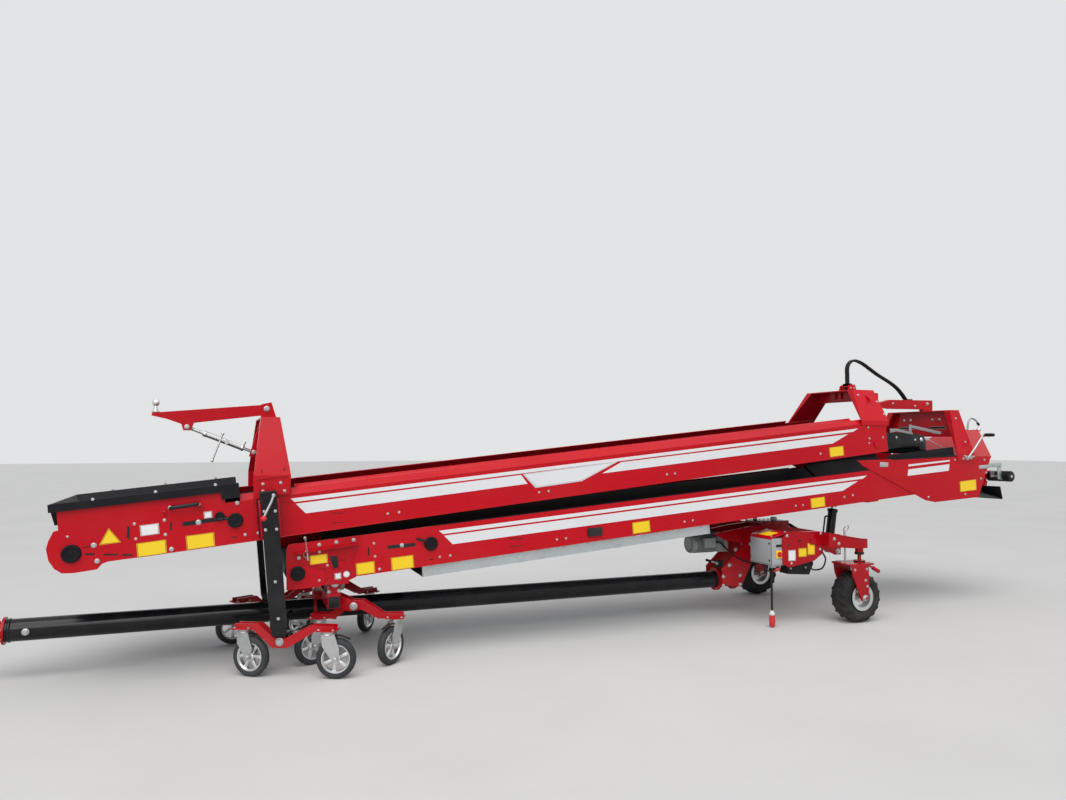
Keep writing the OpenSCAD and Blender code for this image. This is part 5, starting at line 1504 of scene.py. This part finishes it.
def leaning(piece, spots, foot, top, lean, off):
    """Bolts on a portal's leg, whose outer face leans in from its foot to its top."""
    for x, z in spots:
        down = max((z - foot) / (top - foot), 0)
        tilt = math.atan2(lean, top - foot) if down else 0
        aim = (0, -math.cos(tilt), math.sin(tilt))
        piece.bolt(x, lean * down - PANEL_Y - off, z, 0.0085, aim, x * 7)


rear_bolts = Piece(PLATED)
leaning(rear_bolts, [(5.508, 1.84), (5.512, 1.726), (5.33, 1.9)], 1.664, 1.95, 0.19, 0.0084)
rear_bolts.done("rear_portal_bolts", "upper_conveyor", both=True)

# %% [markdown]
# The lower portal is a deep plate between two leaning legs. Long slots let its arm be set along the
# machine. The arm ends above in the ball that carries the upper conveyor, and two through bolts
# hold it to the plate.

# %% Slots and bolts of the lower portal
slots = Piece(PLATED)
# The slots are not cut: each is a black field of painted shade inside a plated rim.
for face_x, heading in ((6.44, -1), (6.45, 1)):
    for y_low, y_high, z_low, z_high in ((-0.278, -0.092, 1.607, 1.629),
                                         (-0.232, -0.127, 1.563, 1.578),
                                         (0.092, 0.278, 1.607, 1.629),
                                         (0.127, 0.232, 1.563, 1.578)):
        radius = (z_high - z_low) / 2
        middle = (z_high + z_low) / 2
        for finish, grow, proud in ((PLATED, 0.002, 0.0004), (BLACK_PLASTIC_AND_SHADE, 0, 0.0008)):
            outline = round_ended((y_high - radius, middle), (y_low + radius, middle),
                                  radius + grow)
            slots.use(finish)
            slots.plate(outline, *sorted((face_x, face_x + heading * proud)), 0, "x")
slots.use(PLATED)
for y in (-0.21, -0.13, 0.13, 0.21):
    slots.bolt(6.44, y, 1.697, 0.0105, LEFT, y * 9)
slots.done("lower_portal_slots", "lower_conveyor")
arm_gear = Piece(PLATED)
arm_gear.bolts([(6.492, 1.855, 0.013), (6.5, 1.76, 0.0115), (6.33, 1.83, 0.009),
                (6.05, 1.85, 0.009)], -0.025, 3)
arm_gear.bolts([(6.42, 1.352), (6.48, 1.352), (6.4, 1.328), (6.5, 1.328)],
               -PANEL_Y - 0.0148, 5, 0.008)
leaning(arm_gear, [(6.432, 1.7), (6.47, 1.48)], 1.372, 1.78, 0.12, 0.0148)
arm_gear.use(RED_DEEP)
arm_gear.tube([(6.446, -0.026, 1.703), (6.446, -0.0262, 1.74), (6.443, -0.0258, 1.798)], 0.0035, 8)
arm_gear.done("lower_portal_bolts", "lower_conveyor", both=True)
ball_seat = Piece(RED_DEEP)
ball_seat.turned([(0, 0.018), (0, 0.026), (0.004, 0.0275), (0.01, 0.023), (0.012, 0.018)],
                 (5.8, 0, 1.846), UP, 32)
ball_seat.use(PLATED)
ball_seat.bolt(5.8, 0, 1.82, 0.016, DOWN)
ball_seat.use(BLACK_PLASTIC_AND_SHADE)
for y in (0.037, 0.063):
    ball_seat.turned([(0, 0.0112), (0, 0.017), (0.012, 0.017), (0.015, 0.015), (0.026, 0.0145),
                      (0.028, 0.0112)], (6.331, y, 1.88), LEFT, 6)
ball_seat.done("ball_seat_fittings", "lower_conveyor")

# %% [markdown]
# The lower hopper is a folded funnel. A rubber strip closes its upper edge, a crank moves the
# discharge flap, and zinc bars hold the roller at its end. The roller is rubber on a steel tube,
# with black end caps that have a small bright disc in the middle.

# %% Fittings of the hopper
HOPPER_FACE = PANEL_Y + 0.0064
hopper = Piece(SHEET, ON_GROUND, HOPPER_FACE)
hopper.plate([(5.551, 1.322), (5.818, 1.33), (6.241, 1.344), (6.322, 1.346), (6.308, 1.358),
              (6.241, 1.367), (5.818, 1.341), (5.551, 1.329)], -0.004, 0.001, 0.001)
hopper.use(ZINC)
hopper.plate([(5.408, 1.262), (5.5, 1.259), (5.506, 1.298), (5.412, 1.304)], -0.0035, SINK, 0.0008)
hopper.plate([(6.603, 1.23), (6.735, 1.236), (6.735, 1.269), (6.603, 1.262)], -0.005, SINK, 0.001)
hopper.use(PLATED)
hopper.bolts([(6.626, 1.139), (6.692, 1.195), (6.677, 1.313)], 0, 5, 0.0085)
hopper.bolts([(6.62, 1.247), (6.716, 1.252)], -0.005, 5, 0.007)
hopper.bolts([(5.428, 1.283), (5.486, 1.28)], -0.0035, 5, 0.0065)
hopper.bolts([(5.968, 0.985, 0.008), (6.421, 1.0, 0.008), (6.305, 1.316, 0.007)], 0, 5)
hopper.use(STRIPE)
film(hopper, [(5.742, 1.279), (6.242, 1.316), (6.236, 1.302), (5.738, 1.261)])
film(hopper, [(5.737, 1.235), (6.235, 1.278), (6.225, 1.218), (5.728, 1.178)])
hopper.use(RED)
hopper.tube([(5.226, 0.0015, 1.271), (5.56, 0.0015, 1.124), (5.934, 0.0015, 0.9585),
             (6.054, 0.0015, 0.9385)], 0.003, 6, 1)
hopper.done("hopper_fittings", "lower_conveyor", both=True)
signs("hopper_sign", "lower_conveyor", ON_GROUND, HOPPER_FACE, [
    ([(6.36, 1.022), (6.566, 1.036), (6.562, 1.134), (6.358, 1.116)], YELLOW),
])
crank = Piece(PLATED, ON_GROUND, HOPPER_FACE)
crank.solid([(0, 0.02), (0.003, 0.0215), (0.016, 0.0215), (0.018, 0.015), (0.03, 0.015)],
            (6.44, 0, 1.333), NEAR, 24)
crank.plate([(6.424, 1.318), (6.545, 1.338), (6.545, 1.352), (6.43, 1.352)], -0.01, SINK, 0.0015)
crank.bolt(6.528, -0.01, 1.345, 0.008)
crank.tube([(6.44, -0.024, 1.333), (6.52, -0.0245, 1.41), (6.6, -0.0245, 1.498),
            (6.632, -0.025, 1.536), (6.64, -0.032, 1.544), (6.641, -0.048, 1.545)], 0.0082, 12)
crank.use(BLACK_PLASTIC_AND_SHADE)
crank.solid([(0, 0.012), (0.003, 0.015), (0.03, 0.0165), (0.07, 0.016), (0.092, 0.014),
             (0.096, 0.01)], (6.641, -0.044, 1.545), NEAR, 22)
crank.done("hopper_crank", "lower_conveyor")

# %% Roller, lever and hood
gear = Piece(BLACK_PLASTIC_AND_SHADE)
for y, heading in ((-0.48, -1), (-0.25, 1)):
    gear.solid([(0, 0.04), (0.002, 0.041), (0.004, 0.038), (0.0045, 0.018), (0.006, 0.017)],
               (7.028, y, 1.153), (0, heading, 0), 36)
gear.use(BALL_STEEL)
for y, heading in ((-0.486, -1), (-0.244, 1)):
    gear.solid([(0, 0.013), (0.004, 0.012)], (7.028, y, 1.153), (0, heading, 0), 24)
gear.use(SHEET)
for y in (-0.47, -0.44, -0.365, -0.29, -0.26):
    gear.turned(collar(0.049, 0.0512, 0.008, 0.002), (7.028, y, 1.153), FAR, 48)
gear.use(ZINC)
gear.plate([(6.709, 1.236), (6.978, 1.242), (6.978, 1.283), (6.709, 1.276)], -0.426, -0.42, 0.001)
gear.plate(oblong(-0.46, -0.39, 1.228, 1.29), 6.7085, 6.713, 0.001, "x")
gear.plate([(6.93, 1.13), (6.99, 1.12), (6.975, 1.25), (6.93, 1.25)], -0.42, -0.414, 0.001)
gear.rod((6.96, -0.414, 1.153), (6.96, -0.33, 1.153), 0.01, 14)
gear.use(PLATED)
for y, z in ((-0.45, 1.24), (-0.45, 1.278), (-0.4, 1.24), (-0.4, 1.278)):
    gear.bolt(6.713, y, z, 0.0065, RIGHT, y * 9)
gear.bolts([(6.76, 1.258), (6.86, 1.261), (6.95, 1.263)], -0.426, 1, 0.0075)
gear.use(RED_DEEP)
gear.plate([(6.872, 1.048), (6.925, 1.042), (6.943, 1.1), (6.9, 1.12), (6.875, 1.111)],
           -0.3, -0.29, 0.002)
gear.plate([(6.88, 1.1), (6.925, 1.1), (6.95, 1.2), (6.9, 1.2)], -0.299, -0.291, 0.0015)
gear.done("end_roller_fittings", "lower_conveyor")
hood = Piece(RED)
hood.plate(oblong(-0.108, 0.108, 1.592, 1.599), 6.893, 7.062, 0.002, "x")
hood.use(PLATED)
for x in (6.915, 7.04):
    for y in (-0.08, 0.08):
        hood.bolt(x, y, 1.599, 0.0075, UP, x * 8 + y)
for y in (-0.03, 0.03):
    hood.bolt(7.182, y, 1.542, 0.0085, UP, y * 90)
hood.turned([(0, 0.02), (0, 0.029), (0.004, 0.03), (0.008, 0.027), (0.008, 0.02)],
            (7.206, 0, 1.542), UP, 28)
hood.bolt(7.206, 0, 1.53, 0.017, DOWN)
hood.use(DRUM_STEEL)
hood.tube([(7.05, 0, 1.596), (7.066, 0, 1.672), (7.084, 0, 1.706), (7.112, 0, 1.718),
           (7.146, 0, 1.712), (7.18, 0, 1.692), (7.206, 0, 1.66)], 0.0085, 14)
hood.use(BLACK_PLASTIC_AND_SHADE)
hood.solid([(-0.018, 0.009), (-0.012, 0.0125), (0.01, 0.013), (0.018, 0.009)], (7.203, 0, 1.664),
           (0.63, 0, -0.78), 20)
hood.done("hood_and_lever", "lower_conveyor")

# %% [markdown]
# The belts are rough-top rubber with low chevron ribs that carry the crop uphill. The ribs are real
# strips pressed on the belt: a bump would vanish at the flat angles from which belts are seen.

# %% Chevron ribs of the belts
BELT_TOP, RIB_HEIGHT, RIB_STEP = 0.0712, 0.005, 0.15


def chevrons(name, place, run, start, body):
    """Pairs of slanted low ribs along a belt's carrying side."""
    ribs = Piece(BELT, place)
    count = int((run - 2 * start) / RIB_STEP)
    for k in range(count + 1):
        s = start + k * (run - 2 * start) / count
        for side in (-1, 1):
            outline = [(s, side * 0.006), (s + 0.014, side * 0.006), (s - 0.096, side * 0.254),
                       (s - 0.11, side * 0.254)]
            ribs.plate(outline, BELT_TOP, BELT_TOP + RIB_HEIGHT, 0.0015, "z")
    ribs.done(name, body)


chevrons("lower_belt_ribs", ON_LOWER, LOWER_LEN, 0.14, "lower_conveyor")
chevrons("upper_belt_ribs", ON_UPPER, UPPER_LEN, 0.14, "upper_conveyor")

# %% [markdown]
# The catch tray below the lower conveyor is thin galvanised sheet in three overlapping lengths. Lap
# strips cover its joints and small bolts hold its rim to the panels.

# %% Tray laps and panel edges
TRAY_FACE = 0.444
tray = Piece(ZINC, ON_LOWER, TRAY_FACE)
for s in (1.56, 2.35):
    tray.block((s - 0.024, -0.0016, -0.1535), (s + 0.024, SINK, -0.078), 0.0006)
    tray.block((s - 0.024, -0.001, -0.1556), (s + 0.024, TRAY_FACE, -0.1539), 0.0006)
tray.block((0.832, -0.012, -0.079), (3.178, SINK, -0.0766), 0.0008)
for s in (0.836, 3.174):
    tray.block((s - 0.004, -0.003, -0.155), (s + 0.004, SINK, -0.078), 0.0008)
tray.use(PLATED)
for k in range(12):
    tray.bolt(0.9 + 0.2 * k, -0.0002, -0.09, 0.0052, spin=k)
tray.done("tray_laps", "lower_conveyor", both=True)
edges = Piece(SHEET, ON_LOWER, PANEL_Y)
edges.tube([(0.93, 0.01, 0.1905), (2.5, 0.0104, 0.1908), (4.0, 0.01, 0.1905), (4.74, 0.01, 0.1905)],
           0.0042, 8, 3)
edges.use(RED)
edges.tube([(0.4, 0.0016, -0.075), (3.0, 0.0016, -0.075), (6.165, 0.0016, -0.075)], 0.0026, 8, 2)
edges.done("lower_panel_edges", "lower_conveyor", both=True)
rims = Piece(RED, ON_UPPER)
rims.tube([(0.3, -PANEL_Y + 0.0016, -0.075), (3.0, -PANEL_Y + 0.0016, -0.075),
           (6.32, -PANEL_Y + 0.0016, -0.075)], 0.0026, 8, 2)
rims.tube([(0.97, -PANEL_Y + 0.0024, 0.1874), (3.6, -PANEL_Y + 0.0024, 0.1874),
           (6.32, -PANEL_Y + 0.0024, 0.1874)], 0.0034, 8, 2)
# The slanted strip on top of the panels goes on past the construction's edge, up to its rolled rim.
rims.plate([(-0.439, 0.2275), (-0.417, 0.2495), (-0.417, 0.2425), (-0.439, 0.2205)], 1.3, 5.99,
           0.0008, "x")
rims.tube([(1.3, -0.4168, 0.246), (3.6, -0.4168, 0.246), (5.99, -0.4168, 0.246)], 0.0038, 8, 2)
rims.done("upper_panel_edges", "upper_conveyor", both=True)

# %% [markdown]
# The lift cylinder gets what a bought cylinder has: a foot ring and a gland ring, a port with a
# pipe up the barrel, and pin heads at its upper eye. The barrel tilts a little as it lifts, so its
# fittings ride with the barrel, and the pin heads with the conveyor that carries them.

# %% Lift cylinder
LIFT_FOOT = Vector((5.255, 0, 0.49))
LIFT_EYE = Vector((5.325, 0, 0.915))
LIFT_DIR = (LIFT_EYE - LIFT_FOOT).normalized()
BARREL_LEN = (LIFT_EYE - LIFT_FOOT).length - 0.0527
barrel = Piece(BLACK)
barrel.turned([(0, 0.04), (0.001, 0.0425), (0.01, 0.0425), (0.012, 0.04)],
              LIFT_FOOT + LIFT_DIR * 0.03, LIFT_DIR, 40)
barrel.turned(collar(0.0452, 0.0466, 0.02, 0.002), LIFT_FOOT + LIFT_DIR * (BARREL_LEN - 0.026),
              LIFT_DIR, 40)
barrel.use(PLATED)
side_way = Vector((LIFT_DIR.z, 0, -LIFT_DIR.x))
port = LIFT_FOOT + LIFT_DIR * 0.07 - side_way * 0.0385
barrel.solid([(0, 0.013), (0.01, 0.013), (0.012, 0.0105), (0.024, 0.0105)], port, -side_way, 6)
barrel.use(CABLE)
pipe = [(0.022, 0), (0.034, 0.003), (0.04, 0.02), (0.04, 0.2), (0.034, 0.226), (0, 0.235)]
barrel.tube([port - side_way * out + LIFT_DIR * up for out, up in pipe], 0.0072, 10)
barrel.done("lift_barrel_fittings", "lift_barrel")
pins = Piece(PLATED)
for side in (-1, 1):
    pins.solid([(0, 0.0135), (0.002, 0.0145), (0.008, 0.0145), (0.01, 0.012)],
               (LIFT_EYE.x, side * 0.0395, LIFT_EYE.z), (0, side, 0), 24)
pins.done("lift_eye_pin_heads", "lower_conveyor")

# %% [markdown]
# The machine stands on a plain pale floor that runs into the background. The light is one very wide
# sun, as under a bright overcast sky, because a sun lights the far floor as evenly as the near one.
# A large overhead sheet and a broad panel from the photographed side give paint and zinc something
# wide to reflect. The background white comes only from what the camera and shiny surfaces see of
# the world, and never adds light to the machine.

# %% Floor and light
FLOOR_REACH = 60


def floor():
    ground = bmesh.new()
    for corner in oblong(-FLOOR_REACH, FLOOR_REACH, -FLOOR_REACH, FLOOR_REACH):
        ground.verts.new((*corner, 0))
    ground.faces.new(ground.verts)
    mesh = bpy.data.meshes.new("floor")
    ground.to_mesh(mesh)
    piece = bpy.data.objects.new("floor", mesh)
    bpy.context.scene.collection.objects.link(piece)
    pale = (0.62, 0.61, 0.59)
    concrete = Finish("pale_floor", pale, 0.75)
    tone = concrete.band(concrete.noise(0.7, 6.0, 0.6), 0.3, 0.75)
    concrete.feed("Base Color", concrete.mix(tone * 0.5, pale, (0.56, 0.55, 0.53)))
    mesh.materials.append(concrete.material)
    piece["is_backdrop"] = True


def hang(name, kind, where, target, power):
    """A lamp of a kind, aimed from where it hangs at a target."""
    light = bpy.data.lights.new(name, kind)
    light.energy = power
    holder = bpy.data.objects.new(name, light)
    holder.location = where
    holder.rotation_euler = (Vector(target) - Vector(where)).to_track_quat("-Z", "Y").to_euler()
    bpy.context.scene.collection.objects.link(holder)
    return light


def sheet_lamp(name, where, target, size, power):
    light = hang(name, "AREA", where, target, power)
    light.shape = "RECTANGLE"
    light.size, light.size_y = size


floor()
overcast = hang("overcast_sky", "SUN", (-3.0, -6.0, 9.0), (0, 0, 0), 2.1)
overcast.angle = math.radians(58)
sheet_lamp("sky_sheet", (0.0, -1.5, 6.5), (0, 0, 0.8), (11.0, 6.0), 120)
sheet_lamp("front_panel", (-5.5, -7.5, 4.0), (-0.5, 0, 1.0), (5.0, 3.0), 70)

world = bpy.data.worlds.new("pale_world")
bpy.context.scene.world = world
world.use_nodes = True
tree = world.node_tree
dim = tree.nodes["Background"]
rays = tree.nodes.new("ShaderNodeLightPath")
white = tree.nodes.new("ShaderNodeBackground")
either = tree.nodes.new("ShaderNodeMixShader")
for sky, colour, strength in ((dim, (0.8, 0.85, 0.92), 0.46), (white, (0.9, 0.91, 0.92), 0.85)):
    sky.inputs["Color"].default_value = (*colour, 1)
    sky.inputs["Strength"].default_value = strength
shown = Wire(tree, rays.outputs["Is Camera Ray"]) + Wire(tree, rays.outputs["Is Glossy Ray"])
surface = tree.nodes["World Output"].inputs["Surface"]
for source, target in ((shown.socket, either.inputs[0]), (dim.outputs[0], either.inputs[1]),
                       (white.outputs[0], either.inputs[2]), (either.outputs[0], surface)):
    tree.links.new(source, target)
bpy.context.scene.view_settings.view_transform = "Standard"
print("lamps:", len(bpy.data.lights))

# %% [markdown]
# It takes the dressed machine's box and prints how far it stands out of the construction's box.

dressed_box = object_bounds()
grown = [round(max(b - a, c - d) * 1000, 1) for a, b, c, d in zip(cad_box[1], dressed_box[1],
                                                                  cad_box[0], dressed_box[0])]
print("pieces stand proud of the construction's box by at most", grown, "mm")
